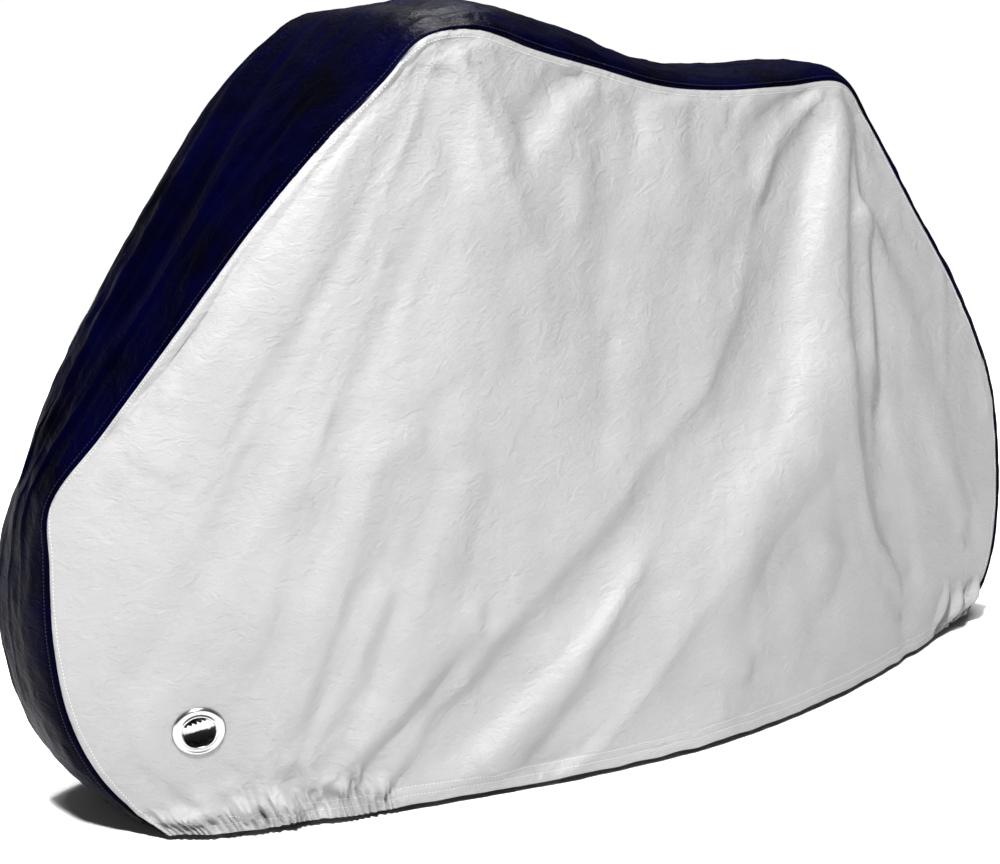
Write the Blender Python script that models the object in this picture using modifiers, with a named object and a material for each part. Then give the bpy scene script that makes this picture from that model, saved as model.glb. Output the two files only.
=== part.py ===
"""A fitted bicycle cover as it hangs over an upright bicycle.

Two silver side panels are sewn to one dark centre panel that runs up the front wheel, over the
handlebar and saddle and down the rear wheel.  The front lower corner of each side panel holds a
two-piece metal eyelet.  The bicycle itself is not modelled, so the cover is hollow.

All tables are in the bicycle's own measures: `back` is the distance behind the front hub, `out`
the distance from the middle plane and `height` the distance above the floor, all in metres.
place() turns them into the part's frame, +X to the rear, +Y to the bicycle's right and +Z up,
whose origin is the point under the top of the cover, over the handlebar stem.
"""

from collections import namedtuple

import bmesh
import bpy
import numpy as np
from mathutils import Matrix, Vector

# ---- driving dimensions ------------------------------------------------------------------
SHEET = 0.0015            # thickness of every cloth panel
SEAM_GAP = 0.0005         # clearance that stands for the sewn line between two panels
STEM_BACK = 0.205         # the point that carries the cover: behind the front hub ...
STEM_HEIGHT = 1.074       # ... and above the floor, just under the cloth

ROWS = 22                 # cells of a side panel between hem and top seam
COLUMNS = 44              # cells of a side panel from front to rear
ACROSS = 10               # cells of the centre panel from side to side
CORNER_ROWS = 10          # cells of the eyelet corner above the hem
CORNER_COLUMNS = 9        # cells of the eyelet corner behind the front seam
PATH_STEPS = 24           # points worked out between two stations of a curve

# Each panel is given in lengths that lie edge to edge, from (name, first column) on.
SIDE_LENGTHS = (("front", 0), ("middle", 15), ("rear", 30))
CENTRE_LENGTHS = (("front", 0), ("bar", ROWS), ("saddle", ROWS + 18), ("rear", ROWS + COLUMNS))

EYELET_U = 0.115          # where the eyelet sits in the side panel, front to rear ...
EYELET_V = 0.258          # ... and hem to seam
EYELET_RADIUS = 0.036
BORE_RADIUS = 0.022
BARREL_WALL = 0.0012
EYELET_STEPS = 36
FLAT_RADIUS = 0.066       # the cloth is flat this far around the eyelet
SETTLED_RADIUS = 0.100    # and back in its own drape this far out

# ---- the seams -----------------------------------------------------------------------------
# Left seam, right seam and crown of the centre panel at each station from hem to hem.
# The right seam is the left one mirrored, moved back by right_back and up by right_rise.
# crown is how far the middle of the cloth stands proud of the two seams, and lean pushes
# that crown to the left (negative) side.
Station = namedtuple("Station", "name back left height right_back right right_rise crown lean")
STATIONS = (
    Station("front_hem", -0.202, 0.130, 0.009, 0.000, 0.116, 0.000, 0.006, 0.00),
    Station("toe", -0.242, 0.107, 0.048, 0.000, 0.107, 0.000, 0.017, 0.00),
    Station("rim_low", -0.285, 0.105, 0.110, 0.000, 0.105, 0.000, 0.026, 0.00),
    Station("rim_front", -0.318, 0.105, 0.195, 0.000, 0.105, 0.000, 0.028, 0.00),
    Station("tyre_front", -0.332, 0.105, 0.296, 0.000, 0.105, 0.000, 0.026, 0.00),
    Station("tyre_top", -0.331, 0.105, 0.406, 0.010, 0.095, -0.005, 0.022, 0.00),
    Station("front_corner", -0.326, 0.107, 0.484, 0.030, 0.090, -0.010, 0.016, 0.00),
    Station("mudguard", -0.263, 0.140, 0.579, 0.020, 0.118, -0.004, 0.014, 0.00),
    Station("fork", -0.177, 0.190, 0.710, 0.026, 0.150, -0.004, 0.012, 0.00),
    Station("head_tube", -0.094, 0.240, 0.838, 0.045, 0.182, -0.004, 0.014, 0.00),
    Station("lamp", -0.020, 0.278, 0.934, 0.056, 0.213, -0.006, 0.018, 0.00),
    Station("brake_lever", 0.055, 0.295, 1.006, 0.066, 0.236, -0.008, 0.022, 0.00),
    Station("grip_front", 0.107, 0.300, 1.056, 0.085, 0.250, -0.020, 0.024, -0.20),
    Station("grip", 0.168, 0.294, 1.065, 0.065, 0.256, -0.022, 0.025, -0.30),
    Station("grip_rear", 0.217, 0.282, 1.057, 0.050, 0.257, -0.018, 0.036, -0.45),
    Station("stem", 0.292, 0.255, 1.033, 0.030, 0.243, -0.012, 0.047, -0.40),
    Station("top_tube", 0.416, 0.214, 1.001, 0.000, 0.212, 0.000, 0.045, -0.30),
    Station("dip", 0.556, 0.175, 0.966, 0.000, 0.175, 0.000, 0.034, -0.10),
    Station("saddle_nose", 0.678, 0.145, 0.952, 0.000, 0.145, 0.000, 0.026, 0.00),
    Station("saddle", 0.817, 0.115, 0.948, 0.000, 0.115, 0.000, 0.024, 0.00),
    Station("saddle_rear", 0.948, 0.092, 0.943, 0.000, 0.092, 0.000, 0.024, 0.00),
    Station("rack", 1.004, 0.082, 0.887, 0.000, 0.082, 0.000, 0.024, 0.00),
    Station("rear_guard", 1.113, 0.078, 0.741, 0.000, 0.078, 0.000, 0.024, 0.00),
    Station("tail", 1.219, 0.076, 0.597, 0.000, 0.076, 0.000, 0.026, 0.00),
    Station("rear_corner", 1.297, 0.076, 0.456, 0.000, 0.076, 0.000, 0.028, 0.00),
    Station("tyre_rear", 1.326, 0.076, 0.369, 0.000, 0.076, 0.000, 0.030, 0.00),
    Station("tyre_back", 1.346, 0.078, 0.188, 0.000, 0.078, 0.000, 0.030, 0.00),
    Station("heel", 1.327, 0.082, 0.082, 0.000, 0.082, 0.000, 0.030, 0.00),
    Station("rear_hem", 1.279, 0.088, 0.021, 0.000, 0.088, 0.000, 0.030, 0.00),
)

# ---- the lower hem of a side panel -----------------------------------------------------------
HemPoint = namedtuple("HemPoint", "name back left right height")
HEM = (
    HemPoint("front_hem", -0.202, 0.130, 0.116, 0.009),
    HemPoint("front_elastic", -0.141, 0.163, 0.157, 0.010),
    HemPoint("fork_foot", -0.044, 0.187, 0.181, 0.010),
    HemPoint("down_tube", 0.079, 0.213, 0.207, 0.010),
    HemPoint("crank_front", 0.297, 0.249, 0.247, 0.010),
    HemPoint("crank", 0.503, 0.270, 0.273, 0.010),
    HemPoint("pedal", 0.619, 0.270, 0.273, 0.010),
    HemPoint("chain_stay", 0.830, 0.238, 0.241, 0.010),
    HemPoint("rear_hub", 1.005, 0.188, 0.186, 0.010),
    HemPoint("rear_elastic", 1.117, 0.148, 0.146, 0.010),
    HemPoint("rear_tuck", 1.207, 0.109, 0.107, 0.012),
    HemPoint("rear_hem", 1.279, 0.088, 0.088, 0.021),
)
# A share of the top seam and the share of the hem that hangs below it.
Plumb = namedtuple("Plumb", "name along_top along_hem")
PLUMB = (
    Plumb("front", 0.00, 0.00),
    Plumb("grip", 0.35, 0.22),
    Plumb("saddle_rear", 0.73, 0.71),
    Plumb("rear", 1.00, 1.00),
)

# ---- the main folds ---------------------------------------------------------------------------
# A fold runs from (back, height) to (to_back, to_height) and bows rearwards by bow on its way.
# width is its half width and lift its height out of the cloth (negative: a trough), both given
# at its two ends.  lee makes its rear side steeper (positive) or its front side (negative).
Fold = namedtuple("Fold", "name back height to_back to_height bow width to_width lift to_lift lee")
LEFT_FOLDS = (
    Fold("front_roll", 0.10, 1.03, -0.22, 0.61, -0.020, 0.030, 0.045, 0.004, 0.006, 0.2),
    Fold("grip_break", 0.14, 1.06, 0.26, 0.83, 0.010, 0.035, 0.055, 0.009, 0.009, 0.5),
    Fold("grip_fold", 0.12, 1.02, -0.08, 0.57, 0.015, 0.030, 0.050, 0.005, 0.007, 0.0),
    Fold("fork_fold", -0.05, 0.54, -0.28, 0.22, 0.030, 0.045, 0.060, 0.006, 0.004, 0.0),
    Fold("grip_valley", 0.11, 0.83, -0.01, 0.56, 0.010, 0.030, 0.040, -0.004, -0.006, 0.0),
    Fold("lever_fold", 0.16, 0.86, 0.05, 0.60, 0.005, 0.030, 0.040, 0.004, 0.006, 0.3),
    Fold("lobe_valley", 0.14, 0.56, -0.08, 0.06, 0.030, 0.035, 0.045, -0.006, -0.008, 0.0),
    Fold("shin_fold", 0.18, 0.52, -0.08, 0.01, 0.042, 0.040, 0.055, 0.006, 0.009, 0.2),
    Fold("foot_lobe", 0.25, 0.25, 0.02, 0.02, -0.030, 0.040, 0.045, 0.007, 0.008, -0.4),
    Fold("waist_hollow", 0.47, 1.00, 0.50, 0.47, 0.000, 0.150, 0.170, -0.009, -0.018, 0.0),
    Fold("saddle_valley", 0.89, 0.93, 0.68, 0.70, 0.000, 0.025, 0.060, -0.003, -0.007, 0.0),
    Fold("saddle_fold", 0.957, 0.92, 0.95, 0.48, 0.004, 0.050, 0.180, 0.008, 0.034, 0.55),
    Fold("skirt_ridge", 0.93, 0.45, 0.37, 0.14, -0.010, 0.185, 0.150, 0.032, 0.018, -0.1),
    Fold("skirt_crease", 0.52, 0.33, 0.21, 0.05, 0.000, 0.040, 0.045, 0.007, 0.006, 0.3),
    Fold("skirt_trough", 0.56, 0.29, 0.30, 0.05, 0.000, 0.035, 0.035, -0.005, -0.005, 0.0),
    Fold("skirt_fold", 0.58, 0.22, 0.35, 0.01, 0.000, 0.040, 0.040, 0.005, 0.005, 0.0),
    Fold("pocket", 0.72, 0.31, 0.66, 0.15, 0.000, 0.045, 0.050, -0.005, -0.004, 0.0),
    Fold("stay_fold", 0.86, 0.32, 0.78, 0.11, 0.000, 0.050, 0.055, 0.004, 0.004, 0.0),
    Fold("saddle_trough", 0.985, 0.78, 1.06, 0.16, -0.012, 0.024, 0.040, -0.005, -0.009, 0.0),
    Fold("hub_valley", 0.97, 0.43, 1.08, 0.02, 0.010, 0.030, 0.035, -0.004, -0.007, 0.0),
    Fold("rear_valley", 0.99, 0.79, 1.29, 0.16, -0.020, 0.025, 0.035, -0.004, -0.006, 0.0),
    Fold("rear_fold", 0.99, 0.74, 1.22, 0.21, 0.006, 0.035, 0.055, 0.006, 0.009, 0.2),
)
RIGHT_FOLDS = (
    Fold("front_roll", 0.13, 1.01, -0.20, 0.60, -0.020, 0.035, 0.050, 0.004, 0.006, 0.2),
    Fold("grip_fold", 0.16, 1.03, -0.05, 0.49, 0.020, 0.030, 0.060, 0.005, 0.008, 0.0),
    Fold("grip_valley", 0.19, 0.86, 0.09, 0.32, 0.010, 0.035, 0.060, -0.004, -0.008, 0.0),
    Fold("lever_fold", 0.23, 0.90, 0.22, 0.15, 0.020, 0.035, 0.070, 0.004, 0.008, 0.0),
    Fold("waist_hollow", 0.51, 1.00, 0.48, 0.49, 0.000, 0.160, 0.180, -0.009, -0.018, 0.0),
    Fold("saddle_fold", 0.94, 0.92, 0.90, 0.44, -0.004, 0.035, 0.150, 0.004, 0.026, 0.4),
    Fold("skirt_ridge", 0.88, 0.43, 0.46, 0.12, -0.010, 0.130, 0.110, 0.020, 0.012, -0.1),
    Fold("skirt_fold", 0.65, 0.26, 0.47, 0.01, 0.000, 0.045, 0.050, 0.006, 0.006, 0.0),
    Fold("hub_valley", 0.99, 0.47, 1.07, 0.02, 0.010, 0.035, 0.045, -0.006, -0.008, 0.0),
    Fold("rear_fold", 1.05, 0.72, 1.17, 0.07, 0.010, 0.035, 0.050, 0.005, 0.008, 0.0),
)
# Folds of the centre panel run from one station and share across (-1 left seam, 1 right seam)
# to another, with their half width in shares across.
CentreFold = namedtuple("CentreFold", "name station across to_station to_across width lift")
CENTRE_FOLDS = (
    CentreFold("bar_pleat", "grip_front", 0.70, "mudguard", 0.30, 0.20, 0.008),
    CentreFold("bar_trough", "brake_lever", 0.30, "fork", 0.00, 0.25, -0.008),
    CentreFold("lamp_pleat", "grip_front", 0.10, "head_tube", -0.20, 0.22, 0.006),
    CentreFold("saddle_groove", "top_tube", 0.00, "saddle_nose", 0.00, 0.50, -0.006),
    CentreFold("tail_pleat", "rack", -0.30, "rear_corner", 0.20, 0.30, 0.006),
)

SEAM_FADE = 0.05          # share of a side panel over which its folds die out at a seam
FOLD_FADE = 0.18          # share of a fold's length over which each of its ends dies out
CROWN_POWER = 2.6         # how flat the crown of the centre panel is
CROWN_ROUND = 0.625       # how round it turns down into the seams

SILVER = (0.63, 0.64, 0.65, 1.0)
NIGHT_BLUE = (0.004, 0.005, 0.016, 1.0)
CHROME = (0.80, 0.80, 0.80, 1.0)


def place(back, side, height):
    """Bicycle measures to the part's frame; side is negative on the left."""
    return np.stack(np.broadcast_arrays(back - STEM_BACK, side, height - STEM_HEIGHT), axis=-1)


def station_index(name):
    """The number of a named station."""
    return [station.name for station in STATIONS].index(name)


def unit(vectors):
    """Vectors scaled to length one."""
    return vectors / np.linalg.norm(vectors, axis=-1, keepdims=True)


def smoothstep(share):
    """A soft ramp from 0 to 1."""
    share = np.clip(share, 0.0, 1.0)
    return share * share * (3.0 - 2.0 * share)


def smooth_path(points):
    """A centripetal Catmull-Rom curve through the points, PATH_STEPS for each stretch."""
    points = np.asarray(points, float)
    points = np.vstack([2 * points[0] - points[1], points, 2 * points[-1] - points[-2]])
    path = []
    for first in range(len(points) - 3):
        p0, p1, p2, p3 = points[first:first + 4]
        t1 = np.linalg.norm(p1 - p0) ** 0.5
        t2 = t1 + np.linalg.norm(p2 - p1) ** 0.5
        t3 = t2 + np.linalg.norm(p3 - p2) ** 0.5
        t = np.linspace(t1, t2, PATH_STEPS, endpoint=False)[:, None]
        a1 = (t1 - t) / t1 * p0 + t / t1 * p1
        a2 = (t2 - t) / (t2 - t1) * p1 + (t - t1) / (t2 - t1) * p2
        a3 = (t3 - t) / (t3 - t2) * p2 + (t - t2) / (t3 - t2) * p3
        b1 = (t2 - t) / t2 * a1 + t / t2 * a2
        b2 = (t3 - t) / (t3 - t1) * a2 + (t - t1) / (t3 - t1) * a3
        path.append((t2 - t) / (t2 - t1) * b1 + (t - t1) / (t2 - t1) * b2)
    return np.vstack(path + [points[-2:-1]])


def read_path(path, at):
    """Points of a path at fractional stations."""
    steps = np.arange(len(path)) / PATH_STEPS
    return np.stack([np.interp(at, steps, path[:, axis]) for axis in range(3)], axis=-1)


def lengths(path):
    """Length walked along a path at each of its points."""
    return np.r_[0.0, np.cumsum(np.linalg.norm(np.diff(path, axis=0), axis=1))]


def even_stations(path, first, last, count):
    """Fractional stations of count + 1 points evenly spaced between two stations of a path."""
    fine = np.linspace(first, last, count * PATH_STEPS)
    walked = lengths(read_path(path, fine))
    return np.interp(np.linspace(0.0, walked[-1], count + 1), walked, fine)


class Seams:
    """The two seams of the centre panel, cut at the same stations for every panel."""

    def __init__(self):
        back = np.array([station.back for station in STATIONS])
        height = np.array([station.height for station in STATIONS])
        left = np.array([-station.left for station in STATIONS])
        right = np.array([station.right for station in STATIONS])
        right_back = back + [station.right_back for station in STATIONS]
        right_height = height + [station.right_rise for station in STATIONS]
        left_path = smooth_path(np.stack([back, left, height], axis=1))
        right_path = smooth_path(np.stack([right_back, right, right_height], axis=1))
        corner = station_index("front_corner")
        rear = station_index("rear_corner")
        front_cut = even_stations(left_path, 0, corner, ROWS)
        top_cut = even_stations(left_path, corner, rear, COLUMNS)
        rear_cut = even_stations(left_path, rear, len(STATIONS) - 1, ROWS)
        self.at = np.concatenate([front_cut, top_cut[1:], rear_cut[1:]])
        self.left = read_path(left_path, self.at)
        self.right = read_path(right_path, self.at)

    def side(self, side):
        """The seam of one side."""
        return self.left if side < 0 else self.right


def centre_surface(seams):
    """Points of the centre panel, one row for each seam point, left seam to right seam."""
    across = np.sin(np.linspace(-1.0, 1.0, ACROSS + 1) * np.pi / 2)
    middle = (seams.left + seams.right) / 2
    along = unit(np.gradient(middle, axis=0))
    proud = unit(np.cross(along, seams.right - seams.left))
    for _ in range(3):
        proud[1:-1] = unit(proud[:-2] + 2 * proud[1:-1] + proud[2:])
    numbers = np.arange(len(STATIONS))
    crown = np.interp(seams.at, numbers, [station.crown for station in STATIONS])[:, None]
    lean = np.interp(seams.at, numbers, [station.lean for station in STATIONS])[:, None]
    rise = crown * (1 - np.abs(across) ** CROWN_POWER) ** CROWN_ROUND * (1 + lean * across)
    for fold in CENTRE_FOLDS:
        first = station_index(fold.station)
        last = station_index(fold.to_station)
        share = (seams.at - first) / (last - first)
        ridge = fold.across + (fold.to_across - fold.across) * share
        fade = smoothstep((share + FOLD_FADE) / 0.3) * smoothstep((1 + FOLD_FADE - share) / 0.3)
        reach = np.clip(np.abs(across - ridge[:, None]) / fold.width, 0.0, 1.0)
        edge = smoothstep((1 - np.abs(across)) / 0.2)
        rise = rise + fold.lift * fade[:, None] * (0.5 + 0.5 * np.cos(np.pi * reach)) * edge
    left_share = ((1 - across) / 2)[None, :, None]
    span = seams.left[:, None] * left_share + seams.right[:, None] * (1 - left_share)
    return span + proud[:, None] * rise[..., None]


def fold_lift(folds, back, height):
    """How far all folds of a table lift the cloth at each point."""
    lift = np.zeros_like(back)
    for fold in folds:
        run = np.array([fold.to_back - fold.back, fold.to_height - fold.height])
        length = np.linalg.norm(run)
        run = run / length
        share = ((back - fold.back) * run[0] + (height - fold.height) * run[1]) / length
        inside = np.clip(share, 0.0, 1.0)
        rearward = -(back - fold.back) * run[1] + (height - fold.height) * run[0]
        rearward = rearward - fold.bow * 4 * inside * (1 - inside)
        width = fold.width + (fold.to_width - fold.width) * inside
        width = width * (1 - fold.lee * np.sign(rearward))
        reach = np.clip(np.abs(rearward) / width, 0.0, 1.0)
        fade = smoothstep((share + FOLD_FADE) / 0.3) * smoothstep((1 + FOLD_FADE - share) / 0.3)
        size = fold.lift + (fold.to_lift - fold.lift) * inside
        lift += size * fade * (0.5 + 0.5 * np.cos(np.pi * reach))
    return lift


def side_surface(seams, side):
    """Points of a side panel, [front to rear, hem to seam], hung between its seam and hem."""
    seam = seams.side(side)
    out = [point.left if side < 0 else point.right for point in HEM]
    hem_path = smooth_path([[point.back, side * far, point.height] for point, far in zip(HEM, out)])
    u = np.linspace(0.0, 1.0, COLUMNS + 1)
    v = np.linspace(0.0, 1.0, ROWS + 1)
    walked = lengths(hem_path)
    along = np.interp(u, [plumb.along_top for plumb in PLUMB], [plumb.along_hem for plumb in PLUMB])
    hem = np.stack([np.interp(along * walked[-1], walked, hem_path[:, axis]) for axis in range(3)], 1)
    front = seam[:ROWS + 1]
    top = seam[ROWS:ROWS + COLUMNS + 1]
    rear = seam[ROWS + COLUMNS:][::-1]
    hem[0], hem[-1] = front[0], rear[0]
    u, v = u[:, None, None], v[None, :, None]
    surface = (1 - v) * hem[:, None] + v * top[:, None] + (1 - u) * front[None] + u * rear[None]
    surface = surface - (1 - u) * ((1 - v) * hem[0] + v * top[0])
    surface = surface - u * ((1 - v) * hem[-1] + v * top[-1])
    folds = LEFT_FOLDS if side < 0 else RIGHT_FOLDS
    lift = fold_lift(folds, surface[..., 0], surface[..., 2])
    u, v = u[..., 0], v[..., 0]
    fade = smoothstep(u / SEAM_FADE) * smoothstep((1 - u) / SEAM_FADE) * smoothstep((1 - v) / SEAM_FADE)
    return surface + outward(surface, side) * (lift * fade)[..., None]


def outward(surface, side):
    """Unit normals of a side panel that point away from the bicycle."""
    normals = unit(np.cross(np.gradient(surface, axis=0), np.gradient(surface, axis=1)))
    return normals if side < 0 else -normals


def eased(normals):
    """Normals that turn more gently from cell to cell, so that the edges of a thick sheet don't twist."""
    for _ in range(2):
        normals[1:-1] = unit(normals[:-2] + 2 * normals[1:-1] + normals[2:])
        normals[:, 1:-1] = unit(normals[:, :-2] + 2 * normals[:, 1:-1] + normals[:, 2:])
    return normals


class Seat:
    """The flat place in a side panel where its eyelet is set."""

    def __init__(self, surface, side):
        column, row = EYELET_U * COLUMNS, EYELET_V * ROWS
        i, j = int(column), int(row)
        near = surface[i - 1:i + 3, j - 1:j + 3]
        weight = np.outer(self.ramp(column - i), self.ramp(row - j))[..., None]
        self.centre = (near * weight).sum(axis=(0, 1))
        self.normal = unit(outward(near, side).mean(axis=(0, 1)))

    @staticmethod
    def ramp(share):
        """Weights of four points in a row for a place between the middle two."""
        return np.array([0.0, 1.0 - share, share, 0.0])

    def flatten(self, surface):
        """The surface pressed flat around the eyelet."""
        offset = surface - self.centre
        depth = offset @ self.normal
        beside = np.linalg.norm(offset - depth[..., None] * self.normal, axis=-1)
        hold = 1 - smoothstep((beside - FLAT_RADIUS) / (SETTLED_RADIUS - FLAT_RADIUS))
        return surface - (hold * depth)[..., None] * self.normal

    def matrix(self):
        """The eyelet's own frame in the part's frame, its Z pointing out of the cloth."""
        turn = Vector(self.normal).to_track_quat("Z", "Y").to_matrix().to_4x4()
        return Matrix.Translation(Vector(place(*self.centre))) @ turn


def seam_frame(seams, panel, side):
    """For each seam point: the side panel's normal there, and the step from the seam into it."""
    seam = seams.side(side)
    inner = np.concatenate([panel[1, :ROWS], panel[:, -2], panel[-2, :ROWS][::-1]])
    inner[ROWS], inner[ROWS + COLUMNS] = panel[1, -2], panel[-2, -2]
    along = unit(np.gradient(seam, axis=0))
    into = inner - seam
    step = unit(into - (into * along).sum(axis=1, keepdims=True) * along)
    normal = np.cross(step, along) if side < 0 else np.cross(along, step)
    for _ in range(2):
        normal[1:-1] = unit(normal[:-2] + 2 * normal[1:-1] + normal[2:])
    return normal, step


def bent_sheet(name, surface, normals, material, mirrored=False, left_out=None):
    """A closed sheet of cloth: a flat one of the same cells, bent so that its top face is the surface.

    Each cell is split along its shorter diagonal before the sheet gets its thickness, so that
    both faces are split alike.  mirrored is for a surface whose columns and rows run the other
    way round.  left_out(i, j) tells which cells of the grid are not part of the sheet.
    """
    columns, rows = surface.shape[0] - 1, surface.shape[1] - 1
    bm = bmesh.new()
    column = bm.verts.layers.int.new("column")
    row = bm.verts.layers.int.new("row")
    bmesh.ops.create_grid(bm, x_segments=columns, y_segments=rows, size=1.0)
    for vert in bm.verts:
        vert[column] = round((vert.co.x + 1.0) / 2 * columns)
        vert[row] = round((vert.co.y + 1.0) / 2 * rows)
        vert.co = surface[vert[column], vert[row]]
    if left_out:
        spare = []
        for face in bm.faces:
            if left_out(min(vert[column] for vert in face.verts), min(vert[row] for vert in face.verts)):
                spare.append(face)
        bmesh.ops.delete(bm, geom=spare, context="FACES")
    bmesh.ops.triangulate(bm, faces=bm.faces[:], quad_method="SHORT_EDGE")

    for vert in bm.verts:
        vert.co = (vert[column], vert[row], 0.0)
    inner = bmesh.ops.extrude_face_region(bm, geom=bm.faces[:], use_keep_orig=True)
    under = [item for item in inner["geom"] if isinstance(item, bmesh.types.BMVert)]
    bmesh.ops.translate(bm, verts=under, vec=(0.0, 0.0, -1.0))
    bmesh.ops.recalc_face_normals(bm, faces=bm.faces[:])
    for vert in bm.verts:
        i, j = vert[column], vert[row]
        depth = -vert.co.z * SHEET
        vert.co = place(*(surface[i, j] - depth * normals[i, j]))
    if mirrored:
        bmesh.ops.reverse_faces(bm, faces=bm.faces[:])
    return finish(name, bm, material)


def finish(name, bm, material):
    """A bmesh as a named object of the cover, shaded smooth."""
    mesh = bpy.data.meshes.new(name)
    bm.to_mesh(mesh)
    bm.free()
    mesh.shade_smooth()
    mesh.set_sharp_from_angle(angle=np.radians(50))
    mesh.materials.append(material)
    piece = bpy.data.objects.new(name, mesh)
    bpy.data.collections["bicycle_cover"].objects.link(piece)
    return piece


def centre_panel(seams, centre, frames, material):
    """The long dark panel between the two side panels, in four lengths from front to rear."""
    normals = unit(np.cross(np.gradient(centre, axis=0), np.gradient(centre, axis=1)))
    surface = centre.copy()
    for side, column in ((-1, 0), (1, -1)):
        normal, step = frames[side]
        normals[:, column] = normal
        surface[:, column] = seams.side(side) - step * SEAM_GAP / 2
    for part, first, last, length in lengths_of(surface, CENTRE_LENGTHS):
        bent_sheet(f"centre_panel_{part}", length, normals[first:last + 1], material)


def lengths_of(surface, parts):
    """Each named length of a sheet: its first and last column, and its points with their gap."""
    gap = unit(np.gradient(surface, axis=0)) * SEAM_GAP / 2
    ends = [first for _, first in parts[1:]] + [len(surface) - 1]
    for (part, first), last in zip(parts, ends):
        length = surface[first:last + 1].copy()
        if first > 0:
            length[0] += gap[first]
        if last < len(surface) - 1:
            length[-1] -= gap[last]
        yield part, first, last, length


def side_panel(seams, panel, frame, side, label, material):
    """A side panel in three lengths, and its lower front corner as a sheet of its own."""
    normals = eased(outward(panel, side))
    normal, step = frame
    edge = seams.side(side) + step * SEAM_GAP / 2
    surface = panel.copy()
    surface[0], normals[0] = edge[:ROWS + 1], normal[:ROWS + 1]
    surface[-1], normals[-1] = edge[ROWS + COLUMNS:][::-1], normal[ROWS + COLUMNS:][::-1]
    surface[:, -1], normals[:, -1] = (edge[ROWS:ROWS + COLUMNS + 1], normal[ROWS:ROWS + COLUMNS + 1])

    rear_line, top_line = CORNER_COLUMNS, CORNER_ROWS
    rearward = unit(np.gradient(surface, axis=0)) * SEAM_GAP / 2
    upward = unit(np.gradient(surface, axis=1)) * SEAM_GAP / 2
    corner = surface[:rear_line + 1, :top_line + 1].copy()
    corner[-1] -= rearward[rear_line, :top_line + 1]
    corner[:, -1] -= upward[:rear_line + 1, top_line]
    body = surface.copy()
    body[rear_line, :top_line + 1] += rearward[rear_line, :top_line + 1]
    body[:rear_line + 1, top_line] += upward[:rear_line + 1, top_line]

    for part, first, last, length in lengths_of(body, SIDE_LENGTHS):
        cut_out = (lambda i, j: i < rear_line and j < top_line) if first == 0 else None
        bent_sheet(f"side_panel_{label}_{part}", length, normals[first:last + 1], material, side > 0,
                   left_out=cut_out)
    return bent_sheet(f"eyelet_strip_{label}", corner, normals[:rear_line + 1, :top_line + 1], material,
                      side > 0)


def turned(name, profile, seat, material):
    """A ring turned from a closed profile of (radius, height) points around the eyelet's axis."""
    bm = bmesh.new()
    verts = [bm.verts.new((radius, 0.0, height)) for radius, height in profile]
    for first, second in zip(verts, verts[1:] + verts[:1]):
        bm.edges.new((first, second))
    ring = finish(name, bm, material)
    screw = ring.modifiers.new("turn", "SCREW")
    screw.steps = EYELET_STEPS
    screw.render_steps = EYELET_STEPS
    screw.use_merge_vertices = True
    screw.merge_threshold = 0.00001
    screw.use_smooth_shade = True
    ring.matrix_world = seat.matrix()
    return ring


def eyelet(seat, label, material):
    """The eyelet's face and barrel, set through the cloth and rolled over a washer behind it."""
    barrel = BORE_RADIUS + BARREL_WALL
    back = -SHEET - SEAM_GAP              # front face of the washer
    washer = 0.0012                       # its thickness
    roll = back - washer - SEAM_GAP       # where the barrel is rolled over it
    top = 0.0045
    turned(f"eyelet_{label}", (
        (BORE_RADIUS, top - 0.0024),
        (BORE_RADIUS + 0.0012, top - 0.0004),
        (BORE_RADIUS + 0.0034, top),
        (EYELET_RADIUS - 0.0045, top),
        (EYELET_RADIUS - 0.0015, top - 0.0008),
        (EYELET_RADIUS, top - 0.0026),
        (EYELET_RADIUS, SEAM_GAP),
        (barrel, SEAM_GAP),
        (barrel, roll),
        (barrel + 0.0030, roll),
        (barrel + 0.0026, roll - 0.0014),
        (BORE_RADIUS + 0.0010, roll - 0.0018),
        (BORE_RADIUS, roll - 0.0008),
    ), seat, material)
    turned(f"eyelet_washer_{label}", (
        (barrel + SEAM_GAP, back),
        (EYELET_RADIUS - 0.0030, back),
        (EYELET_RADIUS - 0.0030, back - washer * 0.5),
        (EYELET_RADIUS - 0.0042, back - washer),
        (barrel + SEAM_GAP, back - washer),
    ), seat, material)


def punch(strip, seat, label):
    """The round hole in the cloth that the eyelet's barrel goes through."""
    bm = bmesh.new()
    radius = BORE_RADIUS + BARREL_WALL + SEAM_GAP
    bmesh.ops.create_cone(bm, cap_ends=True, segments=EYELET_STEPS, radius1=radius, radius2=radius,
                          depth=0.02)
    mesh = bpy.data.meshes.new(f"punch_{label}")
    bm.to_mesh(mesh)
    bm.free()
    cutter = bpy.data.objects.new(f"punch_{label}", mesh)
    bpy.data.collections["cutters"].objects.link(cutter)
    cutter.matrix_world = seat.matrix()
    cutter.hide_render = True
    cutter.display_type = "WIRE"
    cut = strip.modifiers.new("eyelet hole", "BOOLEAN")
    cut.operation = "DIFFERENCE"
    cut.solver = "EXACT"
    cut.object = cutter


def principled(name, colour, roughness, metallic):
    """A plain material of one colour."""
    material = bpy.data.materials.new(name)
    material.use_nodes = True
    shader = material.node_tree.nodes["Principled BSDF"]
    shader.inputs["Base Color"].default_value = colour
    shader.inputs["Roughness"].default_value = roughness
    shader.inputs["Metallic"].default_value = metallic
    return material


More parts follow.
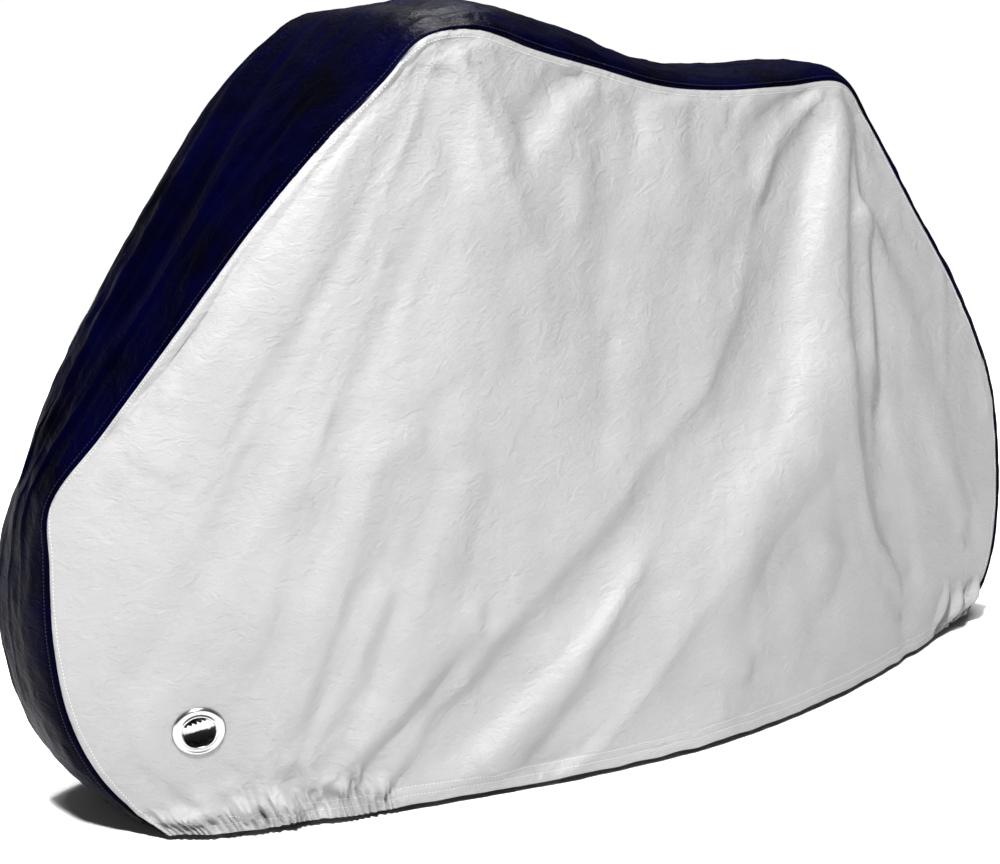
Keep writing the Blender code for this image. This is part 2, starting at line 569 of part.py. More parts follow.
def main():
    """Clear the scene and build the cover."""
    for old in list(bpy.data.objects):
        bpy.data.objects.remove(old, do_unlink=True)
    for name in ("bicycle_cover", "cutters"):
        bpy.context.scene.collection.children.link(bpy.data.collections.new(name))
    silver = principled("silver_cloth", SILVER, 0.55, 0.0)
    night = principled("night_blue_cloth", NIGHT_BLUE, 0.50, 0.0)
    chrome = principled("chromed_brass", CHROME, 0.15, 1.0)

    seams = Seams()
    centre = centre_surface(seams)
    frames = {}
    for side, label in ((-1, "left"), (1, "right")):
        panel = side_surface(seams, side)
        seat = Seat(panel, side)
        panel = seat.flatten(panel)
        frames[side] = seam_frame(seams, panel, side)
        strip = side_panel(seams, panel, frames[side], side, label, silver)
        punch(strip, seat, label)
        eyelet(seat, label, chrome)
    centre_panel(seams, centre, frames, night)


main()
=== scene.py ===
"""Looks of the fitted bicycle cover: its draped panels, gathered hems, stitching and eyelets.

All tables are in the bicycle's own measures: `back` is the distance behind the front hub, `out`
the distance from the middle plane and `height` the distance above the floor, all in metres.
place() turns them into the part's frame, +X to the rear, +Y to the bicycle's right and +Z up.
"""

import logging
from dataclasses import dataclass, field
from enum import Enum
from typing import NamedTuple, Optional, Sequence

import bmesh
import bpy
import numpy as np
from mathutils import Matrix, Vector


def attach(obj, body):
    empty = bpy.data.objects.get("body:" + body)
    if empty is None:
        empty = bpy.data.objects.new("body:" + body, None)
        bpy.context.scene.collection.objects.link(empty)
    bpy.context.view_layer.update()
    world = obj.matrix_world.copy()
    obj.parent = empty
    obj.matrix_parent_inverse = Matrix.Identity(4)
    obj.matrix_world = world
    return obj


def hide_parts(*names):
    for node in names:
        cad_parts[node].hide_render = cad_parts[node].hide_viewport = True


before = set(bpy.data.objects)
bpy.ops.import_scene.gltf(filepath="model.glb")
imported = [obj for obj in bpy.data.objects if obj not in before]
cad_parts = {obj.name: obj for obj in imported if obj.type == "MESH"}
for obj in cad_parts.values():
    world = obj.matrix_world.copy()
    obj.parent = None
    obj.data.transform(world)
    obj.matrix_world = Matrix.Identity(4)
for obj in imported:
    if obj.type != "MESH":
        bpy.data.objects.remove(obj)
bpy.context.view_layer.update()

logging.basicConfig(level=logging.INFO, format="%(levelname)s %(message)s")
LOG = logging.getLogger("cover")

# ---- driving dimensions, metres ----------------------------------------------------------
STEM_BACK = 0.205                  # the part's origin, behind the front hub ...
STEM_HEIGHT = 1.074                # ... and above the floor
CLOTH = 0.0006                     # thickness of the cloth that shows
PATH_STEPS = 24                    # points worked out between two stations of a curve
CAD_COLUMNS = 44                   # cells of the solid side panel, front to rear ...
CAD_ROWS = 22                      # ... and hem to seam
EYELET_U = 0.115                   # the eyelet's place in the panel, as shares of the same
EYELET_V = 0.258
CUT_RADIUS = 0.029                 # hole in the cloth under the eyelet
FLAT_RADIUS = 0.066                # the cloth is flat this far around the eyelet ...
SETTLED_RADIUS = 0.100             # ... and back in its own drape this far out
CALM_RADIUS = 0.040                # no creases this near the eyelet's axis ...
CALM_SPAN = 0.045                  # ... and all of them this much further out
SEAM_FADE = 0.05                   # share of a side panel over which folds die out at a seam
FOLD_FADE = 0.18                   # how far a fold runs on past its ends, as a share of it
FOLD_ENDS = 0.3                    # share of its length over which each end dies out
CROWN_POWER = 2.6                  # how flat the crown of the centre panel is
CROWN_ROUND = 0.625                # how round it turns down into the seams
HEM_ROWS = (0.013, 0.025)          # distance of the two stitched rows from the hem's edge
HEM_DENT = 0.0007                  # depth of the groove that a stitched row draws ...
HEM_DENT_WIDTH = 0.0018            # ... and its half width
SEAM_ROW = 0.009                   # distance of the top stitching from a seam
STITCH_PITCH = 0.0052
STITCH_SIZE = (0.0038, 0.00084, 0.00072)  # length, width and height of a stitch
STITCH_RISE = 0.0002               # a stitch's middle stands this far out of the cloth
FRONT_ELASTIC = 0.34               # gathered length of the hem from the front seam
REAR_ELASTIC = 0.13                # and from the rear seam
GATHER_TOP = 0.022                 # the gathers fade from this height above the hem to twice it
LATTICE = 256                      # cells after which the noise repeats
SHARP_CLOTH = 60                   # degrees from which an edge of the cloth stays sharp ...
SHARP_METAL = 55                   # ... and one of an eyelet


class Side(Enum):
    """Which side of the bicycle a piece is on, as the sign of its Y."""

    LEFT = -1
    RIGHT = 1

    @property
    def label(self) -> str:
        """The side's name in piece and node names."""
        return self.name.lower()


class Slot(Enum):
    """Material slots of the record."""

    SILVER = "silver_cloth"
    DARK = "dark_cloth"
    METAL = "eyelet_metal"


class Station(NamedTuple):
    """The two seams and the crown of the centre panel at one place from hem to hem."""

    name: str
    back: float
    left: float
    height: float
    right_back: float
    right: float
    right_rise: float
    crown: float
    lean: float


# A separate program worked out `back` and `height` of every station but the first, from points
# that were read off.  The other columns were set one by one.
STATIONS = (
    Station("front_hem", -0.202, 0.130, 0.009, 0.000, 0.116, 0.000, 0.006, 0.00),
    Station("toe", -0.242, 0.107, 0.048, 0.000, 0.107, 0.000, 0.017, 0.00),
    Station("rim_low", -0.285, 0.105, 0.110, 0.000, 0.105, 0.000, 0.026, 0.00),
    Station("rim_front", -0.318, 0.105, 0.195, 0.000, 0.105, 0.000, 0.028, 0.00),
    Station("tyre_front", -0.332, 0.105, 0.296, 0.000, 0.105, 0.000, 0.026, 0.00),
    Station("tyre_top", -0.331, 0.105, 0.406, 0.010, 0.095, -0.005, 0.022, 0.00),
    Station("front_corner", -0.326, 0.107, 0.484, 0.030, 0.090, -0.010, 0.016, 0.00),
    Station("mudguard", -0.263, 0.140, 0.579, 0.020, 0.118, -0.004, 0.014, 0.00),
    Station("fork", -0.177, 0.190, 0.710, 0.026, 0.150, -0.004, 0.012, 0.00),
    Station("head_tube", -0.094, 0.240, 0.838, 0.045, 0.182, -0.004, 0.014, 0.00),
    Station("lamp", -0.020, 0.278, 0.934, 0.056, 0.213, -0.006, 0.018, 0.00),
    Station("brake_lever", 0.055, 0.295, 1.006, 0.066, 0.236, -0.008, 0.022, 0.00),
    Station("grip_front", 0.107, 0.300, 1.056, 0.085, 0.250, -0.020, 0.024, -0.20),
    Station("grip", 0.168, 0.294, 1.065, 0.065, 0.256, -0.022, 0.025, -0.30),
    Station("grip_rear", 0.217, 0.282, 1.057, 0.050, 0.257, -0.018, 0.036, -0.45),
    Station("stem", 0.292, 0.255, 1.033, 0.030, 0.243, -0.012, 0.047, -0.40),
    Station("top_tube", 0.416, 0.214, 1.001, 0.000, 0.212, 0.000, 0.045, -0.30),
    Station("dip", 0.556, 0.175, 0.966, 0.000, 0.175, 0.000, 0.034, -0.10),
    Station("saddle_nose", 0.678, 0.145, 0.952, 0.000, 0.145, 0.000, 0.026, 0.00),
    Station("saddle", 0.817, 0.115, 0.948, 0.000, 0.115, 0.000, 0.024, 0.00),
    Station("saddle_rear", 0.948, 0.092, 0.943, 0.000, 0.092, 0.000, 0.024, 0.00),
    Station("rack", 1.004, 0.082, 0.887, 0.000, 0.082, 0.000, 0.024, 0.00),
    Station("rear_guard", 1.113, 0.078, 0.741, 0.000, 0.078, 0.000, 0.024, 0.00),
    Station("tail", 1.219, 0.076, 0.597, 0.000, 0.076, 0.000, 0.026, 0.00),
    Station("rear_corner", 1.297, 0.076, 0.456, 0.000, 0.076, 0.000, 0.028, 0.00),
    Station("tyre_rear", 1.326, 0.076, 0.369, 0.000, 0.076, 0.000, 0.030, 0.00),
    Station("tyre_back", 1.346, 0.078, 0.188, 0.000, 0.078, 0.000, 0.030, 0.00),
    Station("heel", 1.327, 0.082, 0.082, 0.000, 0.082, 0.000, 0.030, 0.00),
    Station("rear_hem", 1.279, 0.088, 0.021, 0.000, 0.088, 0.000, 0.030, 0.00),
)


class HemPoint(NamedTuple):
    """A point of the lower hem of a side panel, with its distance out on either side."""

    name: str
    back: float
    left: float
    right: float
    height: float


# The same program worked out `back` and `left` of every hem point but the first and the last, and
# `right` follows from `left` by a few millimetres more or less.
HEM = (
    HemPoint("front_hem", -0.202, 0.130, 0.116, 0.009),
    HemPoint("front_elastic", -0.141, 0.163, 0.157, 0.010),
    HemPoint("fork_foot", -0.044, 0.187, 0.181, 0.010),
    HemPoint("down_tube", 0.079, 0.213, 0.207, 0.010),
    HemPoint("crank_front", 0.297, 0.249, 0.247, 0.010),
    HemPoint("crank", 0.503, 0.270, 0.273, 0.010),
    HemPoint("pedal", 0.619, 0.270, 0.273, 0.010),
    HemPoint("chain_stay", 0.830, 0.238, 0.241, 0.010),
    HemPoint("rear_hub", 1.005, 0.188, 0.186, 0.010),
    HemPoint("rear_elastic", 1.117, 0.148, 0.146, 0.010),
    HemPoint("rear_tuck", 1.207, 0.109, 0.107, 0.012),
    HemPoint("rear_hem", 1.279, 0.088, 0.088, 0.021),
)


class Plumb(NamedTuple):
    """A share of the top seam and the share of the hem that hangs below it."""

    name: str
    along_top: float
    along_hem: float


PLUMB = (
    Plumb("front", 0.00, 0.00),
    Plumb("grip", 0.35, 0.22),
    Plumb("saddle_rear", 0.73, 0.71),
    Plumb("rear", 1.00, 1.00),
)


class Fold(NamedTuple):
    """A broad fold, straight but for its bow, with its half width and lift at both ends."""

    name: str
    back: float
    height: float
    to_back: float
    to_height: float
    bow: float
    width: float
    to_width: float
    lift: float
    to_lift: float
    lee: float


LEFT_FOLDS = (
    Fold("front_roll", 0.10, 1.03, -0.22, 0.61, -0.020, 0.030, 0.045, 0.004, 0.006, 0.2),
    Fold("grip_break", 0.14, 1.06, 0.26, 0.83, 0.010, 0.035, 0.055, 0.009, 0.009, 0.5),
    Fold("grip_fold", 0.12, 1.02, -0.08, 0.57, 0.015, 0.030, 0.050, 0.005, 0.007, 0.0),
    Fold("fork_fold", -0.05, 0.54, -0.28, 0.22, 0.030, 0.045, 0.060, 0.006, 0.004, 0.0),
    Fold("grip_valley", 0.11, 0.83, -0.01, 0.56, 0.010, 0.030, 0.040, -0.004, -0.006, 0.0),
    Fold("lever_fold", 0.16, 0.86, 0.05, 0.60, 0.005, 0.030, 0.040, 0.004, 0.006, 0.3),
    Fold("lobe_valley", 0.14, 0.56, -0.08, 0.06, 0.030, 0.035, 0.045, -0.006, -0.008, 0.0),
    Fold("shin_fold", 0.18, 0.52, -0.08, 0.01, 0.042, 0.040, 0.055, 0.006, 0.009, 0.2),
    Fold("foot_lobe", 0.25, 0.25, 0.02, 0.02, -0.030, 0.040, 0.045, 0.007, 0.008, -0.4),
    Fold("waist_hollow", 0.47, 1.00, 0.50, 0.47, 0.000, 0.150, 0.170, -0.009, -0.018, 0.0),
    Fold("saddle_valley", 0.89, 0.93, 0.68, 0.70, 0.000, 0.025, 0.060, -0.003, -0.007, 0.0),
    Fold("saddle_fold", 0.957, 0.92, 0.95, 0.48, 0.004, 0.050, 0.180, 0.008, 0.034, 0.55),
    Fold("skirt_ridge", 0.93, 0.45, 0.37, 0.14, -0.010, 0.185, 0.150, 0.032, 0.018, -0.1),
    Fold("skirt_crease", 0.52, 0.33, 0.21, 0.05, 0.000, 0.040, 0.045, 0.007, 0.006, 0.3),
    Fold("skirt_trough", 0.56, 0.29, 0.30, 0.05, 0.000, 0.035, 0.035, -0.005, -0.005, 0.0),
    Fold("skirt_fold", 0.58, 0.22, 0.35, 0.01, 0.000, 0.040, 0.040, 0.005, 0.005, 0.0),
    Fold("pocket", 0.72, 0.31, 0.66, 0.15, 0.000, 0.045, 0.050, -0.005, -0.004, 0.0),
    Fold("stay_fold", 0.86, 0.32, 0.78, 0.11, 0.000, 0.050, 0.055, 0.004, 0.004, 0.0),
    Fold("saddle_trough", 0.985, 0.78, 1.06, 0.16, -0.012, 0.024, 0.040, -0.005, -0.009, 0.0),
    Fold("hub_valley", 0.97, 0.43, 1.08, 0.02, 0.010, 0.030, 0.035, -0.004, -0.007, 0.0),
    Fold("rear_valley", 0.99, 0.79, 1.29, 0.16, -0.020, 0.025, 0.035, -0.004, -0.006, 0.0),
    Fold("rear_fold", 0.99, 0.74, 1.22, 0.21, 0.006, 0.035, 0.055, 0.006, 0.009, 0.2),
)
RIGHT_FOLDS = (
    Fold("front_roll", 0.13, 1.01, -0.20, 0.60, -0.020, 0.035, 0.050, 0.004, 0.006, 0.2),
    Fold("grip_fold", 0.16, 1.03, -0.05, 0.49, 0.020, 0.030, 0.060, 0.005, 0.008, 0.0),
    Fold("grip_valley", 0.19, 0.86, 0.09, 0.32, 0.010, 0.035, 0.060, -0.004, -0.008, 0.0),
    Fold("lever_fold", 0.23, 0.90, 0.22, 0.15, 0.020, 0.035, 0.070, 0.004, 0.008, 0.0),
    Fold("waist_hollow", 0.51, 1.00, 0.48, 0.49, 0.000, 0.160, 0.180, -0.009, -0.018, 0.0),
    Fold("saddle_fold", 0.94, 0.92, 0.90, 0.44, -0.004, 0.035, 0.150, 0.004, 0.026, 0.4),
    Fold("skirt_ridge", 0.88, 0.43, 0.46, 0.12, -0.010, 0.130, 0.110, 0.020, 0.012, -0.1),
    Fold("skirt_fold", 0.65, 0.26, 0.47, 0.01, 0.000, 0.045, 0.050, 0.006, 0.006, 0.0),
    Fold("hub_valley", 0.99, 0.47, 1.07, 0.02, 0.010, 0.035, 0.045, -0.006, -0.008, 0.0),
    Fold("rear_fold", 1.05, 0.72, 1.17, 0.07, 0.010, 0.035, 0.050, 0.005, 0.008, 0.0),
)


class CentreFold(NamedTuple):
    """A fold of the centre panel, between two stations and shares across (-1 left, 1 right)."""

    name: str
    station: str
    across: float
    to_station: str
    to_across: float
    width: float
    lift: float


CENTRE_FOLDS = (
    CentreFold("bar_pleat", "grip_front", 0.70, "mudguard", 0.30, 0.20, 0.008),
    CentreFold("bar_trough", "brake_lever", 0.30, "fork", 0.00, 0.25, -0.008),
    CentreFold("lamp_pleat", "grip_front", 0.10, "head_tube", -0.20, 0.22, 0.006),
    CentreFold("saddle_groove", "top_tube", 0.00, "saddle_nose", 0.00, 0.50, -0.006),
    CentreFold("tail_pleat", "rack", -0.30, "rear_corner", 0.20, 0.30, 0.006),
)

CENTRE_CREASES = (
    CentreFold("bar_ridge", "grip_front", -0.20, "tyre_top", -0.42, 0.10, 0.0040),
    CentreFold("bar_second", "brake_lever", -0.52, "mudguard", -0.30, 0.07, 0.0028),
    CentreFold("lamp_edge", "grip_front", 0.40, "fork", 0.15, 0.09, 0.0035),
    CentreFold("fork_edge", "head_tube", 0.62, "front_corner", 0.40, 0.08, 0.0030),
    CentreFold("tyre_line", "mudguard", 0.05, "rim_front", -0.10, 0.07, 0.0022),
    CentreFold("toe_line", "tyre_top", 0.45, "toe", 0.25, 0.08, 0.0020),
    CentreFold("stem_pleat", "grip", 0.05, "top_tube", -0.35, 0.12, 0.0045),
    CentreFold("stem_second", "grip_rear", 0.50, "dip", 0.20, 0.10, 0.0035),
    CentreFold("tube_line", "stem", -0.10, "saddle_nose", 0.25, 0.10, -0.0030),
    CentreFold("saddle_line", "dip", -0.45, "saddle", -0.10, 0.14, 0.0022),
    CentreFold("rack_line", "saddle_rear", 0.30, "tail", -0.10, 0.12, 0.0028),
    CentreFold("tail_line", "rear_guard", 0.40, "tyre_back", 0.20, 0.12, 0.0024),
)


class Crease(NamedTuple):
    """A crease along (back, height) points, with its cross-section at either end.

    The sections are heights in millimetres at SECTION_AT, which runs from the right of the way the
    points run to the left of it: from front to rear for a crease that runs down.
    """

    name: str
    points: tuple[tuple[float, float], ...]
    start: tuple[float, ...]
    end: tuple[float, ...]


SECTION_AT = (-0.045, -0.028, -0.016, -0.007, 0.0, 0.007, 0.016, 0.028, 0.045)
SECTION_END = 0.065                # a crease's section is back in the cloth this far out
# These numbers weren't chosen by hand.  A separate fitting program solved all 810 section heights,
# and a program turned the given points into metres.  So this table isn't an
# example to follow: CENTRE_CREASES above shows creases that were set one by one.
LEFT_CREASES = (
    Crease("front_ridge",
        ((0.087, 1.025), (0.036, 0.973), (-0.012, 0.916), (-0.095, 0.795), (-0.151, 0.697),
         (-0.212, 0.616)),
        (5.2, 13.0, 6.4, 0.5, -2.5, -3.3, -3.2, -0.9, -0.2),
        (0.6, 5.0, -4.6, -3.5, 2.0, 5.1, 6.3, 4.4, 2.3)),
    Crease("front_dark",
        ((0.105, 1.028), (0.06, 0.96), (0.003, 0.89), (-0.054, 0.809), (-0.11, 0.709),
         (-0.166, 0.619), (-0.226, 0.532)),
        (4.6, 1.2, 2.3, 3.3, 3.5, 3.0, 1.9, 1.6, 1.8),
        (-5.0, 0.2, 4.0, 5.4, 5.6, 5.9, 6.6, 6.5, 4.1)),
    Crease("bright_left",
        ((0.127, 1.027), (0.107, 0.972), (0.084, 0.922), (0.058, 0.87), (0.017, 0.774),
         (-0.006, 0.74), (-0.044, 0.655), (-0.086, 0.552), (-0.13, 0.46)),
        (-4.2, -6.0, -10.1, -13.0, -13.0, -13.0, -13.0, -10.2, -5.6),
        (1.5, -2.0, -4.5, -5.1, -4.8, -4.4, -3.5, -1.7, 0.0)),
    Crease("long_ridge",
        ((0.186, 0.991), (0.178, 0.924), (0.169, 0.855), (0.147, 0.809), (0.11, 0.705),
         (0.081, 0.629), (0.053, 0.552), (0.025, 0.473), (-0.022, 0.281), (-0.048, 0.171),
         (-0.072, 0.049)),
        (-3.2, -9.3, -11.4, -11.6, -9.8, -6.5, -3.9, -3.3, -1.9),
        (-1.5, -0.6, 1.2, 2.4, 2.1, 1.4, 0.3, 1.4, 1.6)),
    Crease("bar_second",
        ((0.107, 0.795), (0.07, 0.734), (0.036, 0.673), (0.004, 0.611), (-0.029, 0.559)),
        (-0.2, -0.6, -2.3, -2.5, -1.9, -1.6, -3.4, -4.1, -3.1),
        (-2.8, -1.5, -1.0, 0.0, 0.5, 0.2, -0.6, -4.3, -7.5)),
    Crease("bar_valley",
        ((0.116, 0.814), (0.067, 0.749), (0.02, 0.675), (-0.012, 0.62), (-0.032, 0.573),
         (-0.077, 0.463), (-0.134, 0.366), (-0.192, 0.281), (-0.247, 0.218)),
        (-3.5, -2.6, -1.0, -0.3, -0.4, -1.0, -1.9, -1.8, -1.5),
        (-2.4, -6.7, -8.0, -6.5, -5.2, -4.1, -2.7, -1.3, -0.2)),
    Crease("grip_edge",
        ((0.156, 1.054), (0.173, 1.018), (0.19, 0.998), (0.203, 0.97), (0.224, 0.929),
         (0.244, 0.891), (0.271, 0.862)),
        (3.1, -0.1, -1.5, 2.0, 4.6, 1.6, 2.0, 2.4, 3.6),
        (3.0, 2.6, 0.7, -0.9, -0.3, 3.4, 3.5, -0.3, -4.6)),
    Crease("grip_line",
        ((0.248, 0.876), (0.257, 0.826), (0.265, 0.767)),
        (-1.2, -3.1, -2.3, -0.6, 0.4, 0.8, 3.0, 2.5, -0.3),
        (-0.8, 1.1, 2.3, 2.1, 2.8, 4.2, 4.6, 4.5, 2.6)),
    Crease("wedge_left",
        ((0.287, 0.978), (0.286, 0.936), (0.29, 0.896)),
        (-0.4, -2.0, -4.6, -6.2, -4.2, -1.1, 1.3, 4.0, 4.9),
        (0.3, 1.6, 1.2, -0.3, -3.3, -4.3, -2.0, 1.8, 0.7)),
    Crease("wedge_right",
        ((0.419, 0.99), (0.4, 0.978), (0.352, 0.958), (0.334, 0.921), (0.316, 0.897)),
        (-3.6, -5.6, -5.0, -0.8, 2.8, 4.6, 4.5, 3.7, 3.1),
        (-3.0, -3.6, -1.0, 2.5, 4.9, 5.9, 5.9, 5.2, 2.6)),
    Crease("mid_line",
        ((0.381, 0.921), (0.379, 0.856), (0.38, 0.776)),
        (0.7, 1.9, 3.6, 5.3, 6.0, 5.6, 5.9, 4.6, 2.2),
        (-1.1, -0.8, 1.0, 2.9, 4.8, 4.8, 3.7, 2.2, 0.9)),
    Crease("mid_short",
        ((0.424, 0.989), (0.432, 0.932), (0.419, 0.898)),
        (0.4, 0.8, 0.9, 0.6, -0.1, 1.6, 2.4, 1.5, 0.2),
        (0.6, 1.7, 3.1, 4.0, 4.8, 5.5, 5.0, 3.9, 1.4)),
    Crease("waist_ridge",
        ((0.507, 0.923), (0.479, 0.86), (0.473, 0.814), (0.445, 0.77), (0.428, 0.702),
         (0.417, 0.645)),
        (2.7, 4.7, 5.1, 5.6, 5.9, 6.8, 8.4, 8.7, 4.0),
        (-1.0, -1.8, -2.0, -2.2, -1.9, -1.6, -0.8, 1.6, 3.2)),
    Crease("waist_dark",
        ((0.345, 0.779), (0.32, 0.735), (0.326, 0.674), (0.327, 0.604)),
        (2.3, 3.1, 3.1, 3.0, 2.6, 1.9, 1.2, 0.5, 0.0),
        (-2.4, -1.8, -0.6, -0.2, -0.3, -0.4, -0.7, -1.2, -0.9)),
    Crease("waist_long",
        ((0.564, 0.955), (0.574, 0.823), (0.543, 0.751), (0.519, 0.632), (0.51, 0.529),
         (0.49, 0.439)),
        (5.8, 9.7, 9.7, 9.1, 8.3, 7.4, 6.0, 4.0, 1.7),
        (2.8, 3.8, 3.5, 2.8, 2.1, 1.3, 0.4, 0.2, -0.1)),
    Crease("top_one",
        ((0.609, 0.958), (0.603, 0.901), (0.598, 0.84)),
        (-2.8, -1.1, 0.7, 0.4, -0.9, -0.4, 0.8, 0.6, 1.3),
        (2.9, 1.8, 0.7, -0.8, -1.6, -1.8, -1.9, -0.6, 0.4)),
    Crease("top_two",
        ((0.686, 0.951), (0.68, 0.923), (0.676, 0.889)),
        (2.7, 1.6, 1.6, 2.7, 1.9, 1.1, 0.6, 0.3, 1.2),
        (-0.1, 0.2, 1.8, 3.5, 3.1, 0.5, -0.5, 1.2, -0.3)),
    Crease("top_three",
        ((0.754, 0.949), (0.717, 0.928), (0.689, 0.904)),
        (0.5, 1.0, 0.4, 0.3, 3.8, 2.2, 2.8, 0.8, -0.8),
        (1.1, 1.9, 1.0, 0.9, 1.7, 2.3, 1.1, -1.6, -0.5)),
    Crease("top_four",
        ((0.813, 0.945), (0.817, 0.92), (0.822, 0.894)),
        (-2.2, -3.0, -3.2, -3.0, -2.3, -3.4, -3.0, 1.2, 3.0),
        (-1.0, -2.3, -3.5, -3.4, -4.5, -4.0, -0.8, 3.6, 8.3)),
    Crease("tip_valley",
        ((0.905, 0.932), (0.822, 0.878), (0.721, 0.823)),
        (-5.0, -5.7, 5.5, 12.6, 13.0, 11.7, 5.9, -0.2, -2.4),
        (-2.7, -2.7, -5.2, -5.6, -3.4, -0.2, 3.3, 5.4, 3.8)),
    Crease("cone_left",
        ((0.909, 0.925), (0.836, 0.825), (0.786, 0.71), (0.748, 0.6), (0.694, 0.52),
         (0.669, 0.478), (0.562, 0.405), (0.497, 0.344), (0.452, 0.305), (0.394, 0.266),
         (0.346, 0.225), (0.286, 0.179), (0.226, 0.136), (0.151, 0.084)),
        (-5.5, -8.8, -11.6, -13.0, -13.0, -13.0, -13.0, -10.9, -5.9),
        (-4.0, -9.5, -13.0, -13.0, -13.0, -13.0, -13.0, -13.0, -6.3)),
    Crease("cone_middle",
        ((0.919, 0.925), (0.878, 0.808), (0.85, 0.692), (0.832, 0.589), (0.796, 0.493),
         (0.742, 0.425), (0.658, 0.368), (0.587, 0.315), (0.535, 0.255), (0.476, 0.194),
         (0.408, 0.131)),
        (1.3, 1.3, 2.5, 4.3, 7.1, 9.4, 9.8, 8.0, 4.6),
        (-7.2, -9.4, -8.8, -8.1, -8.7, -9.6, -9.5, -7.7, -5.7)),
    Crease("cone_right",
        ((0.937, 0.925), (0.924, 0.767), (0.907, 0.582), (0.896, 0.51), (0.924, 0.4),
         (0.969, 0.283), (0.993, 0.22), (1.056, 0.152), (1.062, 0.117)),
        (6.5, 13.0, 12.1, 8.9, 4.2, -0.8, -3.8, -5.1, -3.2),
        (1.8, 0.5, 3.5, 5.8, 5.1, 4.1, 0.0, -5.2, -8.2)),
    Crease("band_right",
        ((0.884, 0.585), (0.828, 0.459), (0.816, 0.41), (0.769, 0.384), (0.717, 0.355),
         (0.688, 0.32), (0.658, 0.275), (0.651, 0.24), (0.656, 0.192), (0.637, 0.14),
         (0.625, 0.087)),
        (4.4, 9.6, 13.0, 13.0, 12.9, 10.5, 7.3, 3.6, 1.3),
        (1.7, 3.7, 5.6, 7.5, 9.0, 10.1, 11.0, 11.2, 7.6)),
    Crease("skirt_white",
        ((0.496, 0.299), (0.46, 0.275), (0.402, 0.213), (0.345, 0.161), (0.284, 0.112),
         (0.204, 0.056)),
        (-2.6, -3.3, 1.2, 8.4, 8.0, 8.0, 5.8, 0.3, 0.9),
        (0.9, 1.4, 1.6, 1.7, 4.2, 5.0, 6.4, 9.1, 5.4)),
    Crease("skirt_dark",
        ((0.523, 0.281), (0.499, 0.228), (0.449, 0.173), (0.403, 0.125), (0.346, 0.08),
         (0.282, 0.037)),
        (-2.9, -2.2, -4.3, -6.9, -8.2, -7.8, -5.8, -2.7, 0.1),
        (2.8, 0.9, 0.2, 0.0, -1.0, -2.8, -5.4, -8.2, -10.0)),
    Crease("dark_right",
        ((0.926, 0.578), (0.942, 0.502), (0.994, 0.364), (1.036, 0.257), (1.05, 0.177),
         (1.077, 0.105)),
        (0.7, 2.5, 0.1, -0.9, -3.0, -4.0, -4.4, -5.0, -0.8),
        (-2.0, -2.3, 1.9, 1.9, 0.2, -3.0, -5.4, -5.0, -6.3)),
    Crease("fold_right",
        ((0.953, 0.771), (1.005, 0.727), (1.072, 0.614), (1.107, 0.516), (1.153, 0.392),
         (1.194, 0.283), (1.243, 0.183)),
        (2.5, 4.9, 9.1, 9.1, 7.3, 4.4, -0.3, -2.9, -1.0),
        (-2.5, -4.4, -4.3, -1.7, 0.8, 4.2, 7.6, 7.4, 1.6)),
    Crease("facet",
        ((1.187, 0.638), (1.198, 0.533), (1.204, 0.447)),
        (0.8, 0.2, 1.2, 2.1, 1.7, 0.3, -0.6, -1.6, -2.6),
        (-0.4, 1.6, 2.3, 0.9, -0.1, -0.2, -0.2, 0.3, 0.8)),
    Crease("facet_rear",
        ((1.266, 0.518), (1.295, 0.449), (1.317, 0.36)),
        (-0.8, -1.2, -2.2, -2.9, -2.0, -0.6, -0.2, -0.1, 0.0),
        (-0.7, -0.1, 2.1, 5.0, 3.8, 2.4, 0.5, 0.2, 0.1)),
    Crease("pocket",
        ((0.866, 0.275), (0.837, 0.211), (0.79, 0.182)),
        (-0.7, 0.6, 3.0, 5.4, 7.2, 8.5, 9.3, 8.4, 4.7),
        (3.4, 5.9, 6.6, 7.4, 7.8, 7.6, 6.4, 4.8, 2.8)),
    Crease("pocket_arc",
        ((0.683, 0.166), (0.761, 0.163), (0.812, 0.186)),
        (5.8, 8.4, 9.2, 9.1, 8.6, 7.0, 4.3, 2.6, 1.8),
        (0.9, 2.9, 5.5, 7.9, 9.4, 10.4, 10.1, 8.8, 5.2)),
    Crease("stay",
        ((0.826, 0.116), (0.8, 0.093), (0.775, 0.046)),
        (-0.3, 0.5, 3.0, 3.6, 2.2, 2.0, 1.2, -0.1, -1.1),
        (-0.3, -0.1, 0.1, -0.6, -1.3, -2.4, -2.8, -3.1, -2.5)),
    Crease("lobe_edge",
        ((0.142, 0.544), (0.089, 0.533), (0.067, 0.505), (0.028, 0.379), (-0.019, 0.237),
         (-0.057, 0.074)),
        (-1.3, 0.3, 2.6, 4.0, 3.9, 3.5, 3.2, 1.3, -1.3),
        (4.6, 9.2, 8.3, 7.1, 6.7, 5.2, 1.7, 1.3, 1.2)),
    Crease("lobe_valley",
        ((0.128, 0.519), (0.113, 0.464), (0.087, 0.382), (0.039, 0.269), (0.008, 0.161),
         (-0.046, 0.015)),
        (-2.4, -2.0, 2.4, 4.0, 4.9, 4.7, 3.3, -0.9, -1.1),
        (1.7, -1.6, -7.3, -5.9, -5.0, -3.5, -2.5, -2.0, -5.0)),
    Crease("shin_ridge",
        ((0.173, 0.505), (0.158, 0.427), (0.14, 0.363), (0.125, 0.257), (0.092, 0.169),
         (0.04, 0.101)),
        (1.3, 0.0, -2.4, -2.3, -1.9, -1.1, 2.3, 5.3, 3.6),
        (-2.8, -0.2, 5.6, 9.6, 10.0, 9.1, 5.1, 2.7, 1.2)),
    Crease("shin_thin",
        ((0.088, 0.346), (0.076, 0.303), (0.02, 0.177), (-0.019, 0.073)),
